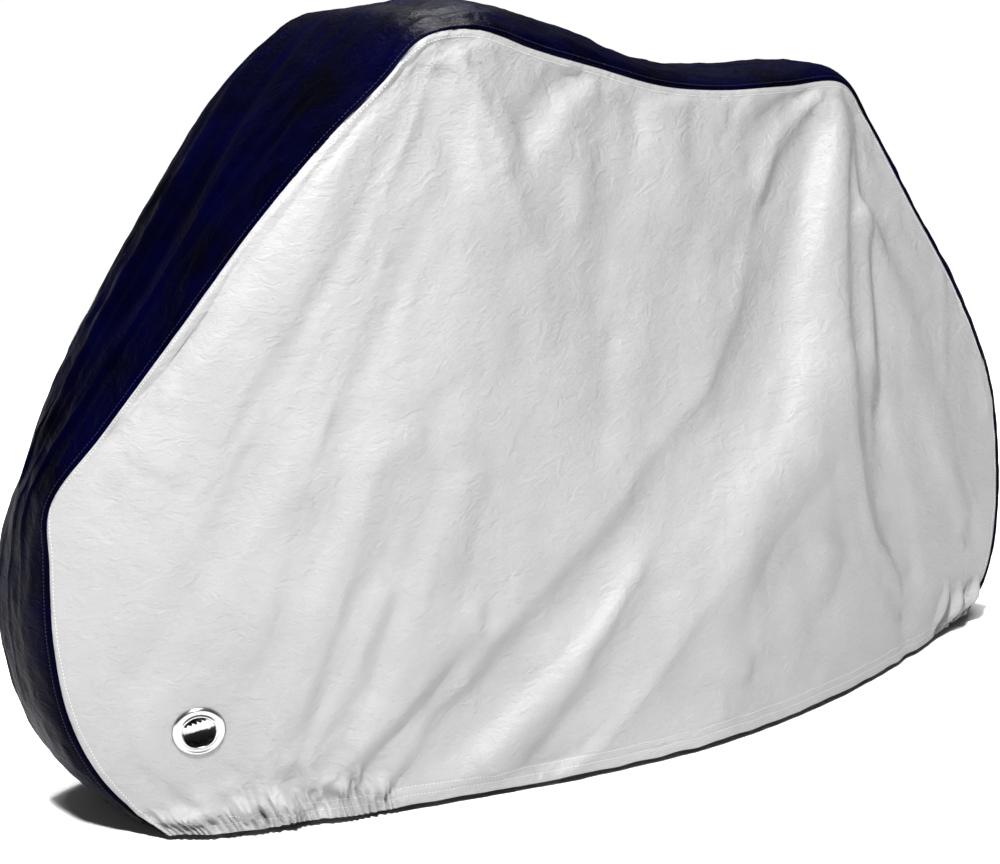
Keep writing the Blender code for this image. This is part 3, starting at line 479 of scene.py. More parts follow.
        (-2.1, 1.1, 3.7, 4.4, 5.0, 1.6, -3.2, -3.1, -4.4),
        (5.7, 9.0, 5.8, 3.9, -0.2, -0.7, -0.3, -0.5, 3.8)),
    Crease("big_lobe",
        ((0.233, 0.239), (0.212, 0.24), (0.186, 0.225), (0.144, 0.185), (0.089, 0.126),
         (0.038, 0.07), (-0.012, 0.032)),
        (4.4, 7.0, 8.3, 6.5, 1.4, -1.7, -2.5, -2.5, 0.5),
        (0.4, -0.3, -3.1, -7.0, -6.5, -7.2, -10.9, -8.7, -5.0)),
    Crease("lobe_line",
        ((0.239, 0.178), (0.197, 0.15), (0.146, 0.112), (0.098, 0.061), (0.054, 0.021)),
        (-0.4, 0.9, 3.2, 3.2, 1.4, 1.0, -0.5, -1.1, -6.1),
        (-1.8, 1.7, 2.5, 3.2, 3.2, 0.0, -5.8, -4.8, -0.5)),
    Crease("small_lobe",
        ((0.057, 0.095), (0.044, 0.099), (0.03, 0.088), (0.0, 0.06), (-0.027, 0.022)),
        (-3.3, -3.4, 1.0, 6.2, 10.1, 5.2, 2.8, 2.1, -0.2),
        (-2.0, -6.0, -8.2, -7.1, -4.5, 3.5, 1.1, -4.9, -7.4)),
    Crease("shin_line",
        ((0.013, 0.473), (-0.011, 0.414), (-0.035, 0.361), (-0.049, 0.337)),
        (-1.4, -2.7, -2.3, -0.7, 0.2, -0.4, 1.4, 1.5, -0.2),
        (0.3, -1.3, -2.0, -1.5, -1.5, -1.5, -0.1, 1.3, 0.9)),
    Crease("eyelet_line",
        ((-0.125, 0.263), (-0.137, 0.183), (-0.141, 0.093)),
        (0.2, -1.0, -1.3, -2.3, -1.8, -1.4, -0.8, -1.4, -0.1),
        (-1.5, -1.6, -1.7, -2.4, -2.9, -4.8, -5.8, -2.8, -1.9)),
    Crease("toe_line",
        ((-0.226, 0.243), (-0.22, 0.164), (-0.216, 0.074)),
        (0.8, 0.3, -0.1, -0.2, 0.1, 0.7, 0.9, 1.4, 1.5),
        (-0.5, -0.9, -1.6, -1.9, -1.4, -1.5, -0.9, -0.1, -0.8)),
    Crease("corner_line",
        ((-0.204, 0.612), (-0.178, 0.608), (-0.153, 0.605)),
        (1.5, 1.5, 1.3, 0.7, -2.4, -5.5, -6.4, -5.9, -2.5),
        (0.4, 0.7, -0.4, -2.6, -3.3, -2.5, -2.4, -2.7, -2.9)),
    Crease("toe_pleat",
        ((-0.141, 0.093), (-0.125, 0.07), (-0.104, 0.051)),
        (3.7, 1.8, 1.3, 3.5, 2.3, 4.0, 0.8, -2.7, -2.7),
        (0.5, -0.3, 1.7, 0.5, 1.7, 1.6, 1.4, 1.5, -3.8)),
)


class Fan(NamedTuple):
    """Creases that fan out below a place where the cloth hangs."""

    centre: tuple[float, float]
    reach: float
    height: float


class Ripple(NamedTuple):
    """A run of crinkle, drawn out along its second direction by stretch."""

    height: float
    cell: float
    stretch: float


class Pucker(NamedTuple):
    """A pouch of slack cloth over an elastic hem, at a walked distance along it from an end."""

    name: str
    at: float
    above: float
    half_width: float
    half_height: float
    lift: float


FRONT_PUCKERS = (
    Pucker("tip_fold", 0.045, 0.034, 0.050, 0.020, 0.009),
    Pucker("tip_crack", 0.070, 0.020, 0.010, 0.026, -0.006),
    Pucker("arch", 0.118, 0.032, 0.020, 0.026, 0.013),
    Pucker("arch_crack", 0.137, 0.018, 0.008, 0.024, -0.010),
    Pucker("bulge", 0.172, 0.030, 0.028, 0.034, 0.017),
    Pucker("bulge_crack", 0.212, 0.020, 0.010, 0.034, -0.009),
    Pucker("small_pouch", 0.245, 0.042, 0.022, 0.028, 0.011),
    Pucker("pouch_crack", 0.272, 0.026, 0.008, 0.026, -0.006),
    Pucker("last_pouch", 0.300, 0.036, 0.022, 0.024, 0.008),
)
REAR_PUCKERS = (
    Pucker("outer_lobe", 0.128, 0.060, 0.018, 0.060, 0.008),
    Pucker("lobe_valley", 0.104, 0.040, 0.011, 0.055, -0.012),
    Pucker("lobe", 0.078, 0.050, 0.018, 0.050, 0.016),
    Pucker("v_tip", 0.050, 0.030, 0.011, 0.055, -0.014),
    Pucker("last_lobe", 0.024, 0.050, 0.018, 0.045, 0.012),
)


def place(back: np.ndarray, side: np.ndarray, height: np.ndarray) -> np.ndarray:
    """Turn bicycle measures into the part's frame.

    Args:
        back: Distance behind the front hub.
        side: Distance from the middle plane, negative on the left.
        height: Distance above the floor.

    Returns:
        The points, last axis X, Y, Z.
    """
    return np.stack(np.broadcast_arrays(back - STEM_BACK, side, height - STEM_HEIGHT), axis=-1)


def station_index(name: str) -> int:
    """Find a named station.

    Args:
        name: Its name in STATIONS.

    Returns:
        Its number.
    """
    return [station.name for station in STATIONS].index(name)


def joined_spans(spans: Sequence[tuple[float, float, int]]) -> np.ndarray:
    """Run even steps through stretches that follow one another.

    Args:
        spans: Each stretch's first and last value, and how many values it has.

    Returns:
        The values, each shared end once.
    """
    parts = [np.linspace(first, last, count)[:-1] for first, last, count in spans]
    return np.r_[np.concatenate(parts), spans[-1][1]]


def unit(vectors: np.ndarray) -> np.ndarray:
    """Scale vectors to length one.

    Args:
        vectors: Any array of them, last axis X, Y, Z.

    Returns:
        The unit vectors.
    """
    return vectors / np.maximum(np.linalg.norm(vectors, axis=-1, keepdims=True), 1e-12)


def smoothstep(share: np.ndarray) -> np.ndarray:
    """Ease from 0 to 1.

    Args:
        share: Any numbers; they are clipped to 0..1.

    Returns:
        The eased numbers.
    """
    share = np.clip(share, 0.0, 1.0)
    return share * share * (3.0 - 2.0 * share)


def smooth_path(points: Sequence[Sequence[float]]) -> np.ndarray:
    """Run a centripetal Catmull-Rom curve through points.

    Args:
        points: The points, in order.

    Returns:
        The curve, PATH_STEPS points for each stretch.
    """
    points = np.asarray(points, float)
    points = np.vstack([2 * points[0] - points[1], points, 2 * points[-1] - points[-2]])
    path = []
    for first in range(len(points) - 3):
        p0, p1, p2, p3 = points[first:first + 4]
        t1 = np.linalg.norm(p1 - p0) ** 0.5
        t2 = t1 + np.linalg.norm(p2 - p1) ** 0.5
        t3 = t2 + np.linalg.norm(p3 - p2) ** 0.5
        t = np.linspace(t1, t2, PATH_STEPS, endpoint=False)[:, None]
        a1 = (t1 - t) / t1 * p0 + t / t1 * p1
        a2 = (t2 - t) / (t2 - t1) * p1 + (t - t1) / (t2 - t1) * p2
        a3 = (t3 - t) / (t3 - t2) * p2 + (t - t2) / (t3 - t2) * p3
        b1 = (t2 - t) / t2 * a1 + t / t2 * a2
        b2 = (t3 - t) / (t3 - t1) * a2 + (t - t1) / (t3 - t1) * a3
        path.append((t2 - t) / (t2 - t1) * b1 + (t - t1) / (t2 - t1) * b2)
    return np.vstack(path + [points[-2:-1]])


def read_path(path: np.ndarray, at: np.ndarray) -> np.ndarray:
    """Read a path at fractional stations.

    Args:
        path: A curve from smooth_path.
        at: Fractional station numbers.

    Returns:
        The points there.
    """
    steps = np.arange(len(path)) / PATH_STEPS
    return np.stack([np.interp(at, steps, path[:, axis]) for axis in range(3)], axis=-1)


def walked(path: np.ndarray) -> np.ndarray:
    """Measure how far along a path each of its points is.

    Args:
        path: Points in order.

    Returns:
        The distance walked to each.
    """
    return np.r_[0.0, np.cumsum(np.linalg.norm(np.diff(path, axis=0), axis=1))]


def value_noise(across: np.ndarray, along: np.ndarray, cell: float, seed: int) -> np.ndarray:
    """Smooth noise over a plane.

    Args:
        across: First coordinates, metres.
        along: Second coordinates, metres.
        cell: Size of a cell of the noise, metres.
        seed: Which noise.

    Returns:
        Noise from -1 to 1 at each point.
    """
    lattice = np.random.default_rng(seed).uniform(-1.0, 1.0, (LATTICE, LATTICE))
    x, y = across / cell + 71.3, along / cell + 43.7  # away from the lattice's own edge
    i, j = np.floor(x).astype(int), np.floor(y).astype(int)
    a, b = smoothstep(x - i), smoothstep(y - j)
    i, j = i % LATTICE, j % LATTICE
    k, m = (i + 1) % LATTICE, (j + 1) % LATTICE
    near = lattice[i, j] * (1 - a) + lattice[k, j] * a
    far = lattice[i, m] * (1 - a) + lattice[k, m] * a
    return near * (1 - b) + far * b


def crinkle(across: np.ndarray, along: np.ndarray, cell: float, seed: int) -> np.ndarray:
    """Noise with crisp crests, as a coated cloth creases.

    Args:
        across: First coordinates, metres.
        along: Second coordinates, metres.
        cell: Size of a cell of the noise, metres.
        seed: Which noise.

    Returns:
        About -0.5 to 0.5 at each point.
    """
    bent = 0.6 * cell * value_noise(across, along, cell * 2.3, seed + 50)
    return 0.5 - np.abs(value_noise(across + bent, along - bent, cell, seed)) * 1.6


def bell(distance: np.ndarray, middle: float, width: float) -> np.ndarray:
    """A soft ridge across a line.

    Args:
        distance: Distance of each point from an edge.
        middle: Where the ridge is highest.
        width: How wide it is.

    Returns:
        0 to 1.
    """
    return np.exp(-((distance - middle) / width) ** 2)


def show(data: bpy.types.ID) -> bpy.types.Object:
    """Show a mesh, a light or a camera as an object of the same name.

    Args:
        data: The finished mesh, light or camera.

    Returns:
        The object.
    """
    piece = bpy.data.objects.new(data.name, data)
    bpy.context.scene.collection.objects.link(piece)
    return piece


def mesh_from(bm: bmesh.types.BMesh, name: str) -> bpy.types.Mesh:
    """Turn a bmesh into a mesh, and free it.

    Args:
        bm: The bmesh.
        name: The mesh's name.

    Returns:
        The mesh.
    """
    mesh = bpy.data.meshes.new(name)
    bm.to_mesh(mesh)
    bm.free()
    return mesh


class Seams:
    """The two seams of the centre panel, read at shares of their front, top and rear stretches."""

    def __init__(self) -> None:
        """Run both seams through their stations."""
        back = np.array([station.back for station in STATIONS])
        height = np.array([station.height for station in STATIONS])
        left = np.array([-station.left for station in STATIONS])
        right = np.array([station.right for station in STATIONS])
        right_back = back + [station.right_back for station in STATIONS]
        right_height = height + [station.right_rise for station in STATIONS]
        self.paths = {
            Side.LEFT: smooth_path(np.stack([back, left, height], axis=1)),
            Side.RIGHT: smooth_path(np.stack([right_back, right, right_height], axis=1)),
        }
        self.corner = station_index("front_corner")
        self.rear = station_index("rear_corner")
        self.last = len(STATIONS) - 1

    def stations(self, first: int, last: int, shares: np.ndarray) -> np.ndarray:
        """Turn shares of a stretch into fractional stations, even along the left seam.

        Args:
            first: Station where the stretch begins.
            last: Station where it ends.
            shares: Shares of its length.

        Returns:
            The fractional stations.
        """
        fine = np.linspace(first, last, 1200)
        length = walked(read_path(self.paths[Side.LEFT], fine))
        return np.interp(shares * length[-1], length, fine)

    def read(self, side: Side, first: int, last: int, shares: np.ndarray) -> np.ndarray:
        """Points of one seam.

        Args:
            side: Which seam.
            first: Station where the stretch begins.
            last: Station where it ends.
            shares: Shares of its length.

        Returns:
            The points.
        """
        return read_path(self.paths[side], self.stations(first, last, shares))


def fold_fade(share: np.ndarray) -> np.ndarray:
    """How strong a fold is along its run.

    Args:
        share: Share of its length.

    Returns:
        0 to 1.
    """
    start = smoothstep((share + FOLD_FADE) / FOLD_ENDS)
    return start * smoothstep((1 + FOLD_FADE - share) / FOLD_ENDS)


def fold_lift(folds: Sequence[Fold], back: np.ndarray, height: np.ndarray) -> np.ndarray:
    """Add up how far broad folds lift the cloth.

    Args:
        folds: A side's table.
        back: Where the cloth is.
        height: Where the cloth is.

    Returns:
        The lift at each point, metres.
    """
    lift = np.zeros_like(back)
    for fold in folds:
        run = np.array([fold.to_back - fold.back, fold.to_height - fold.height])
        length = np.linalg.norm(run)
        run = run / length
        share = ((back - fold.back) * run[0] + (height - fold.height) * run[1]) / length
        inside = np.clip(share, 0.0, 1.0)
        rearward = -(back - fold.back) * run[1] + (height - fold.height) * run[0]
        rearward = rearward - fold.bow * 4 * inside * (1 - inside)
        width = fold.width + (fold.to_width - fold.width) * inside
        width = width * (1 - fold.lee * np.sign(rearward))
        reach = np.clip(np.abs(rearward) / width, 0.0, 1.0)
        size = fold.lift + (fold.to_lift - fold.lift) * inside
        lift += size * fold_fade(share) * (0.5 + 0.5 * np.cos(np.pi * reach))
    return lift


def crease_lift(creases: Sequence[Crease], back: np.ndarray, height: np.ndarray) -> np.ndarray:
    """Add up how far the creases lift the cloth.

    Args:
        creases: A side's table.
        back: Where the cloth is.
        height: Where the cloth is.

    Returns:
        The lift at each point, metres.
    """
    lift = np.zeros_like(back)
    reach = (-SECTION_END, *SECTION_AT, SECTION_END)
    for crease in creases:
        points = np.array(crease.points)
        total = walked(points)
        nearest = np.full_like(back, 1e9)
        share = np.zeros_like(back)
        for first, second, start in zip(points[:-1], points[1:], total):
            run = second - first
            length = np.linalg.norm(run)
            along = ((back - first[0]) * run[0] + (height - first[1]) * run[1]) / length ** 2
            along = np.clip(along, 0.0, 1.0)
            off_back = back - first[0] - along * run[0]
            off_height = height - first[1] - along * run[1]
            beside = -off_back * run[1] + off_height * run[0]
            away = np.hypot(off_back, off_height) * np.where(beside < 0, -1.0, 1.0)
            closer = np.abs(away) < np.abs(nearest)
            nearest = np.where(closer, away, nearest)
            share = np.where(closer, (start + along * length) / total[-1], share)
        above = np.interp(nearest, reach, (0.0, *crease.start, 0.0))
        below = np.interp(nearest, reach, (0.0, *crease.end, 0.0))
        taper = max(0.03 / total[-1], 0.06)  # 30 mm, or more of a long crease
        ends = smoothstep((share + 0.02) / taper) * smoothstep((1.02 - share) / taper)
        lift += (above * (1 - share) + below * share) * ends / 1000
    return lift


def rays(back: np.ndarray, height: np.ndarray, fan: Fan, seed: int) -> np.ndarray:
    """How far the creases of a fan lift the cloth.

    Args:
        back: Where the cloth is.
        height: Where the cloth is.
        fan: The fan.
        seed: Which creases.

    Returns:
        The lift at each point, metres, fading with the distance.
    """
    away = np.hypot(back - fan.centre[0], height - fan.centre[1])
    turn = np.arctan2(back - fan.centre[0], fan.centre[1] - height)
    crest = 0.5 - np.abs(value_noise(turn * 5.5, away * 0.8, 1.0, seed)) * 1.5
    return fan.height * crest * smoothstep(away / 0.05) * np.exp(-away / fan.reach)


def gather(distance: np.ndarray, reach: float, wave: float, seed: int) -> np.ndarray:
    """The small waves of a hem drawn in by its elastic.

    Args:
        distance: Walked distance along the hem from its end, metres.
        reach: Length of the elastic stretch, metres.
        wave: Length of a wave, metres.
        seed: Which waves.

    Returns:
        About -1 to 1, zero beyond the elastic.
    """
    flat = np.zeros_like(distance)
    turn = distance / wave + 0.9 * value_noise(distance, flat, 0.022, seed)
    size = 0.75 + 0.5 * value_noise(distance, flat, 0.016, seed + 1)
    hold = smoothstep((reach - distance) / 0.05)
    return np.sin(2 * np.pi * turn) * size * hold


class Sheet:
    """A grid of cloth that becomes a closed sheet with two faces."""

    def __init__(self, surface: np.ndarray, flip: bool) -> None:
        """Take the grid.

        Args:
            surface: Its points in bicycle measures.
            flip: Whether its normals turn the other way, as on the right side.
        """
        self.surface = surface
        self.flip = flip

    def spans(self) -> tuple[np.ndarray, np.ndarray]:
        """Walked distances over the cloth.

        Returns:
            Distances along its columns and along its rows, from the first of each.
        """
        over = np.linalg.norm(np.diff(self.surface, axis=0), axis=-1)
        up = np.linalg.norm(np.diff(self.surface, axis=1), axis=-1)
        columns = np.vstack([np.zeros((1, over.shape[1])), np.cumsum(over, axis=0)])
        rows = np.hstack([np.zeros((up.shape[0], 1)), np.cumsum(up, axis=1)])
        return columns, rows

    def normals(self) -> np.ndarray:
        """Unit normals that point away from the bicycle.

        Returns:
            A normal for each grid point.
        """
        across = np.gradient(self.surface, axis=0)
        along = np.gradient(self.surface, axis=1)
        normals = unit(np.cross(across, along))
        return -normals if self.flip else normals

    def lift(self, height: np.ndarray, normals: Optional[np.ndarray] = None) -> None:
        """Raise the cloth along its normals.

        Args:
            height: How far, metres.
            normals: Directions to use in place of its own.
        """
        way = self.normals() if normals is None else normals
        self.surface = self.surface + way * height[..., None]

    def build(self, name: str, uv: tuple[np.ndarray, np.ndarray],
              left_out: Optional[np.ndarray] = None) -> bpy.types.Object:
        """Make the sheet's mesh.

        Args:
            name: Name of the piece.
            uv: The cloth's own flat coordinates in metres, along columns and rows.
            left_out: True for each cell that is not part of the cloth.

        Returns:
            The piece.
        """
        columns, rows = self.surface.shape[0] - 1, self.surface.shape[1] - 1
        bm = bmesh.new()
        bmesh.ops.create_grid(bm, x_segments=columns, y_segments=rows, size=1.0)
        if left_out is not None:
            cells = [(face, (face.calc_center_median() + Vector((1, 1, 0))) / 2)
                     for face in bm.faces]
            spare = [face for face, cell in cells
                     if left_out[int(cell.x * columns), int(cell.y * rows)]]
            bmesh.ops.delete(bm, geom=spare, context="FACES")
        inner = bmesh.ops.extrude_face_region(bm, geom=bm.faces[:], use_keep_orig=True)
        under = [item for item in inner["geom"] if isinstance(item, bmesh.types.BMVert)]
        bmesh.ops.translate(bm, verts=under, vec=(0.0, 0.0, -1.0))
        bmesh.ops.recalc_face_normals(bm, faces=bm.faces[:])
        if self.flip:
            bmesh.ops.reverse_faces(bm, faces=bm.faces[:])
        mesh = mesh_from(bm, name)
        flat = np.empty(len(mesh.vertices) * 3)
        mesh.vertices.foreach_get("co", flat)
        flat = flat.reshape(-1, 3)
        i = np.rint((flat[:, 0] + 1) / 2 * columns).astype(int)
        j = np.rint((flat[:, 1] + 1) / 2 * rows).astype(int)
        depth = -flat[:, 2:] * CLOTH
        points = self.surface[i, j] - self.normals()[i, j] * depth
        points = place(points[:, 0], points[:, 1], points[:, 2])
        mesh.vertices.foreach_set("co", points.ravel())
        corner = np.empty(len(mesh.loops), dtype=np.int32)
        mesh.loops.foreach_get("vertex_index", corner)
        layer = mesh.uv_layers.new(name="cloth")
        coords = np.stack([uv[0][i, j][corner], uv[1][i, j][corner]], axis=1)
        layer.data.foreach_set("uv", coords.ravel())
        mesh.shade_smooth()
        mesh.set_sharp_from_angle(angle=np.radians(SHARP_CLOTH))
        mesh.update()
        return show(mesh)


@dataclass(frozen=True)
class SeamRelief:
    """The relief beside a sewn seam: puckers, the seam's groove, a roll of cloth, the thread."""

    cell: float
    reach: float
    roll: float
    pucker: float = 0.0014
    groove: float = 0.0016
    groove_width: float = 0.0035
    roll_at: float = 0.006
    roll_width: float = 0.003
    dent: float = 0.0006
    dent_width: float = 0.002

    def lift(self, walk: np.ndarray, to_seam: np.ndarray, seed: int) -> np.ndarray:
        """How far the seam lifts the cloth.

        Args:
            walk: Walked distance along the seam.
            to_seam: Distance from the seam.
            seed: Which puckers.

        Returns:
            The lift at each point, metres.
        """
        pucker = value_noise(walk, to_seam * 0.3, self.cell, seed)
        pucker = pucker * np.exp(-to_seam / self.reach) * smoothstep(to_seam / 0.004)
        return (self.pucker * pucker - self.groove * bell(to_seam, 0.0, self.groove_width)
                + self.roll * bell(to_seam, self.roll_at, self.roll_width)
                - self.dent * bell(to_seam, SEAM_ROW, self.dent_width))


def hem_dents(to_hem: np.ndarray) -> np.ndarray:
    """The grooves that the hem's stitched rows draw in the cloth.

    Args:
        to_hem: Distance from the hem's edge.

    Returns:
        Their depth at each point, metres.
    """
    return sum(HEM_DENT * bell(to_hem, row, HEM_DENT_WIDTH) for row in HEM_ROWS)


@dataclass(frozen=True)
class Seat:
    """The flat place in a side panel where its eyelet is set."""

    centre: np.ndarray
    normal: np.ndarray

    @classmethod
    def of(cls, surface: np.ndarray, flip: bool) -> "Seat":
        """Find the seat in a panel cut as coarsely as the solid one.

        Args:
            surface: The coarse panel.
            flip: Whether its normals turn the other way.

        Returns:
            The seat.
        """
        column, row = EYELET_U * CAD_COLUMNS, EYELET_V * CAD_ROWS
        i, j = int(column), int(row)
        near = surface[i - 1:i + 3, j - 1:j + 3]
        a, b = column - i, row - j
        weight = np.outer([0.0, 1.0 - a, a, 0.0], [0.0, 1.0 - b, b, 0.0])[..., None]
        normal = unit(Sheet(near, flip).normals().mean(axis=(0, 1)))
        return cls((near * weight).sum(axis=(0, 1)), normal)

    def beside(self, surface: np.ndarray) -> tuple[np.ndarray, np.ndarray]:
        """Measure where points are from the seat.

        Args:
            surface: The points.

        Returns:
            Their distance from the eyelet's axis, and their depth along it.
        """
        offset = surface - self.centre
        depth = offset @ self.normal
        return np.linalg.norm(offset - depth[..., None] * self.normal, axis=-1), depth

    def flatten(self, surface: np.ndarray) -> np.ndarray:
        """Press the cloth flat around the eyelet.

        Args:
            surface: The panel.

        Returns:
            The pressed panel.
        """
        away, depth = self.beside(surface)
        hold = 1 - smoothstep((away - FLAT_RADIUS) / (SETTLED_RADIUS - FLAT_RADIUS))
        return surface - (hold * depth)[..., None] * self.normal

    def matrix(self) -> Matrix:
        """The eyelet's own frame, its Z out of the cloth.

        Returns:
            The frame's matrix.
        """
        turn = Vector(self.normal).to_track_quat("Z", "Y").to_matrix().to_4x4()
        return Matrix.Translation(Vector(place(*self.centre))) @ turn


@dataclass
class SidePanel:
    """A silver side panel: hung between its seam and hem, folded, creased and gathered."""

    seams: Seams
    side: Side
    crease_gain: float = 1.7
    most_lift: float = 0.016           # no crease stands further out than this
    unseen_start: float = 6.2          # crease heights of the right side, millimetres
    unseen_end: float = 7.2
    pucker_gain: float = 1.3
    fans: tuple[Fan, ...] = (Fan((0.17, 1.06), 0.20, 0.0030), Fan((0.93, 0.95), 0.22, 0.0025))
    ripples: tuple[Ripple, ...] = (Ripple(0.0014, 0.058, 0.6), Ripple(0.0010, 0.031, 0.8))
    fine_height: float = 0.0006
    seam_relief: SeamRelief = SeamRelief(cell=0.016, reach=0.016, roll=0.0008)
    gather_wave: float = 0.0092
    gather_height: float = 0.0038
    slack_height: float = 0.0062
    scallop: float = 0.0022            # how unevenly the hem's edge runs
    drawn_rise: float = 0.0012         # how far the gathers move it up and down
    hem_rise: float = 0.0012           # how far the whole edge is drawn up
    hem_waver: float = 0.0010
    hem_turn: float = 0.0007           # the turned-up cloth stands this far out
    sheet: Sheet = field(init=False)
    seat: Seat = field(init=False)
    uv: tuple[np.ndarray, np.ndarray] = field(init=False)

    @property
    def seed(self) -> int:
        """First seed of this side's noises."""
        return 11 if self.side is Side.LEFT else 31

    @property
    def folds(self) -> Sequence[Fold]:
        """The broad folds of this side."""
        return LEFT_FOLDS if self.side is Side.LEFT else RIGHT_FOLDS

    @property
    def creases(self) -> Sequence[Crease]:
        """The crisp creases of this side; the unseen side's follow its broad folds."""
        if self.side is Side.LEFT:
            return LEFT_CREASES
        across = 1 - np.abs(np.array(SECTION_AT)) / SECTION_END
        creases = []
        for fold in self.folds:
            middle = ((fold.back + fold.to_back) / 2 + fold.bow,
                      (fold.height + fold.to_height) / 2)
            way = np.sign(fold.lift)
            creases.append(Crease(fold.name,
                                  ((fold.back, fold.height), middle,
                                   (fold.to_back, fold.to_height)),
                                  tuple(self.unseen_start * way * across ** 3),
                                  tuple(self.unseen_end * way * across ** 2)))
        return creases

    def hung(self, u: np.ndarray, v: np.ndarray) -> np.ndarray:
        """The panel with its broad folds.

        Args:
            u: Shares from the front seam to the rear one.
            v: Shares from the hem to the top seam.

        Returns:
            Its points.
        """
        seams, sign = self.seams, self.side.value
        out = [point.left if sign < 0 else point.right for point in HEM]
        hem_path = smooth_path([[point.back, sign * far, point.height]
                                for point, far in zip(HEM, out)])
        length = walked(hem_path)
        along = np.interp(u, [plumb.along_top for plumb in PLUMB],
                          [plumb.along_hem for plumb in PLUMB]) * length[-1]
        hem = np.stack([np.interp(along, length, hem_path[:, axis]) for axis in range(3)], 1)
        front = seams.read(self.side, 0, seams.corner, v)
        top = seams.read(self.side, seams.corner, seams.rear, u)
        rear = seams.read(self.side, seams.rear, seams.last, 1 - v)
        hem[0], hem[-1] = front[0], rear[0]
        u, v = u[:, None, None], v[None, :, None]
        surface = (1 - v) * hem[:, None] + v * top[:, None]
        surface = surface + (1 - u) * front[None] + u * rear[None]
        surface = surface - (1 - u) * ((1 - v) * hem[0] + v * top[0])
        surface = surface - u * ((1 - v) * hem[-1] + v * top[-1])
        lift = fold_lift(self.folds, surface[..., 0], surface[..., 2])
        u, v = u[..., 0], v[..., 0]
        fade = smoothstep(u / SEAM_FADE) * smoothstep((1 - u) / SEAM_FADE)
        fade = fade * smoothstep((1 - v) / SEAM_FADE)
        sheet = Sheet(surface, self.side is Side.RIGHT)
        sheet.lift(lift * fade)
        return sheet.surface

    def cut(self) -> tuple[np.ndarray, np.ndarray]:
        """Where the fine grid's columns and rows run.

        Returns:
            Shares from front to rear, and from hem to seam.
        """
        u = joined_spans(((0.0, 0.010, 5), (0.010, 0.335, 138), (0.335, 0.905, 140),
                          (0.905, 0.990, 50), (0.990, 1.0, 6)))
        v = joined_spans(((0.0, 0.030, 13), (0.030, 0.075, 12), (0.075, 0.960, 90),
                          (0.960, 1.0, 14)))
        return u, v

    def drape(self) -> None:
        """Work out the finished surface."""
        flip = self.side is Side.RIGHT
        coarse = self.hung(np.linspace(0, 1, CAD_COLUMNS + 1), np.linspace(0, 1, CAD_ROWS + 1))
        self.seat = Seat.of(coarse, flip)
        u, v = self.cut()
        self.sheet = Sheet(self.hung(u, v), flip)
        surface = self.sheet.surface
        back, height = surface[..., 0], surface[..., 2]
        columns, rows = self.sheet.spans()
        from_front, from_rear = columns, columns[-1] - columns
        from_hem, from_top = rows, rows[:, -1:] - rows
        to_seam = np.minimum(np.minimum(from_front, from_rear), from_top)
        hem_walk = np.broadcast_to(columns[:, :1], columns.shape)
        hem_rest = hem_walk[-1:] - hem_walk

        lift = self.crumpled(back, height, to_seam)
        lift = lift * smoothstep(from_hem / 0.030) * smoothstep((to_seam + 0.004) / 0.020)
        walk = np.where(from_top < np.minimum(from_front, from_rear), columns, rows)
        lift += self.seam_relief.lift(walk, to_seam, self.seed + 6)
        waver = value_noise(hem_walk, from_hem * 0.4, 0.018, self.seed + 7)
        lift += self.hem_waver * waver * bell(from_hem, 0.0, 0.030)
        lift -= hem_dents(from_hem)
        lift += self.hem_turn * smoothstep(1 - from_hem / HEM_ROWS[1])
        drawn = (gather(hem_walk, FRONT_ELASTIC, self.gather_wave, self.seed + 8)
                 + gather(hem_rest, REAR_ELASTIC, self.gather_wave, self.seed + 9))
        lift += self.pouches(hem_walk, hem_rest, from_hem, drawn)
        away, _ = self.seat.beside(surface)
        self.sheet.lift(lift * smoothstep((away - CALM_RADIUS) / CALM_SPAN))
        self.sheet.surface = self.seat.flatten(self.sheet.surface)
        edge = 1 - smoothstep(from_hem / 0.06)
        rise = self.scallop * value_noise(hem_walk, hem_walk * 0, 0.035, self.seed + 12)
        rise = (rise + self.drawn_rise * drawn + self.hem_rise) * edge
        self.sheet.surface[..., 2] += rise * smoothstep(to_seam / 0.02)
        self.uv = (np.broadcast_to(columns.mean(axis=1)[:, None], columns.shape),
                   np.broadcast_to(rows.mean(axis=0)[None], rows.shape))

    def crumpled(self, back: np.ndarray, height: np.ndarray, to_seam: np.ndarray) -> np.ndarray:
        """How far the creases, fans and crinkle of the open cloth lift it.

        Args:
            back: Where the cloth is.
            height: Where the cloth is.
            to_seam: Distance from the nearest seam.

        Returns:
            The lift at each point, metres.
        """
        lift = self.crease_gain * crease_lift(self.creases, back, height)
        lift = self.most_lift * np.tanh(lift / self.most_lift) * smoothstep(to_seam / 0.020)
        for number, fan in enumerate(self.fans):
            lift += rays(back, height, fan, self.seed + number)
        patchy = 0.55 + 0.45 * value_noise(back, height, 0.16, self.seed + 2)
        for number, ripple in enumerate(self.ripples):
            crests = crinkle(back, height * ripple.stretch, ripple.cell, self.seed + 3 + number)
            lift += ripple.height * crests * patchy
        return lift + self.fine_height * value_noise(back, height, 0.022, self.seed + 5) * patchy

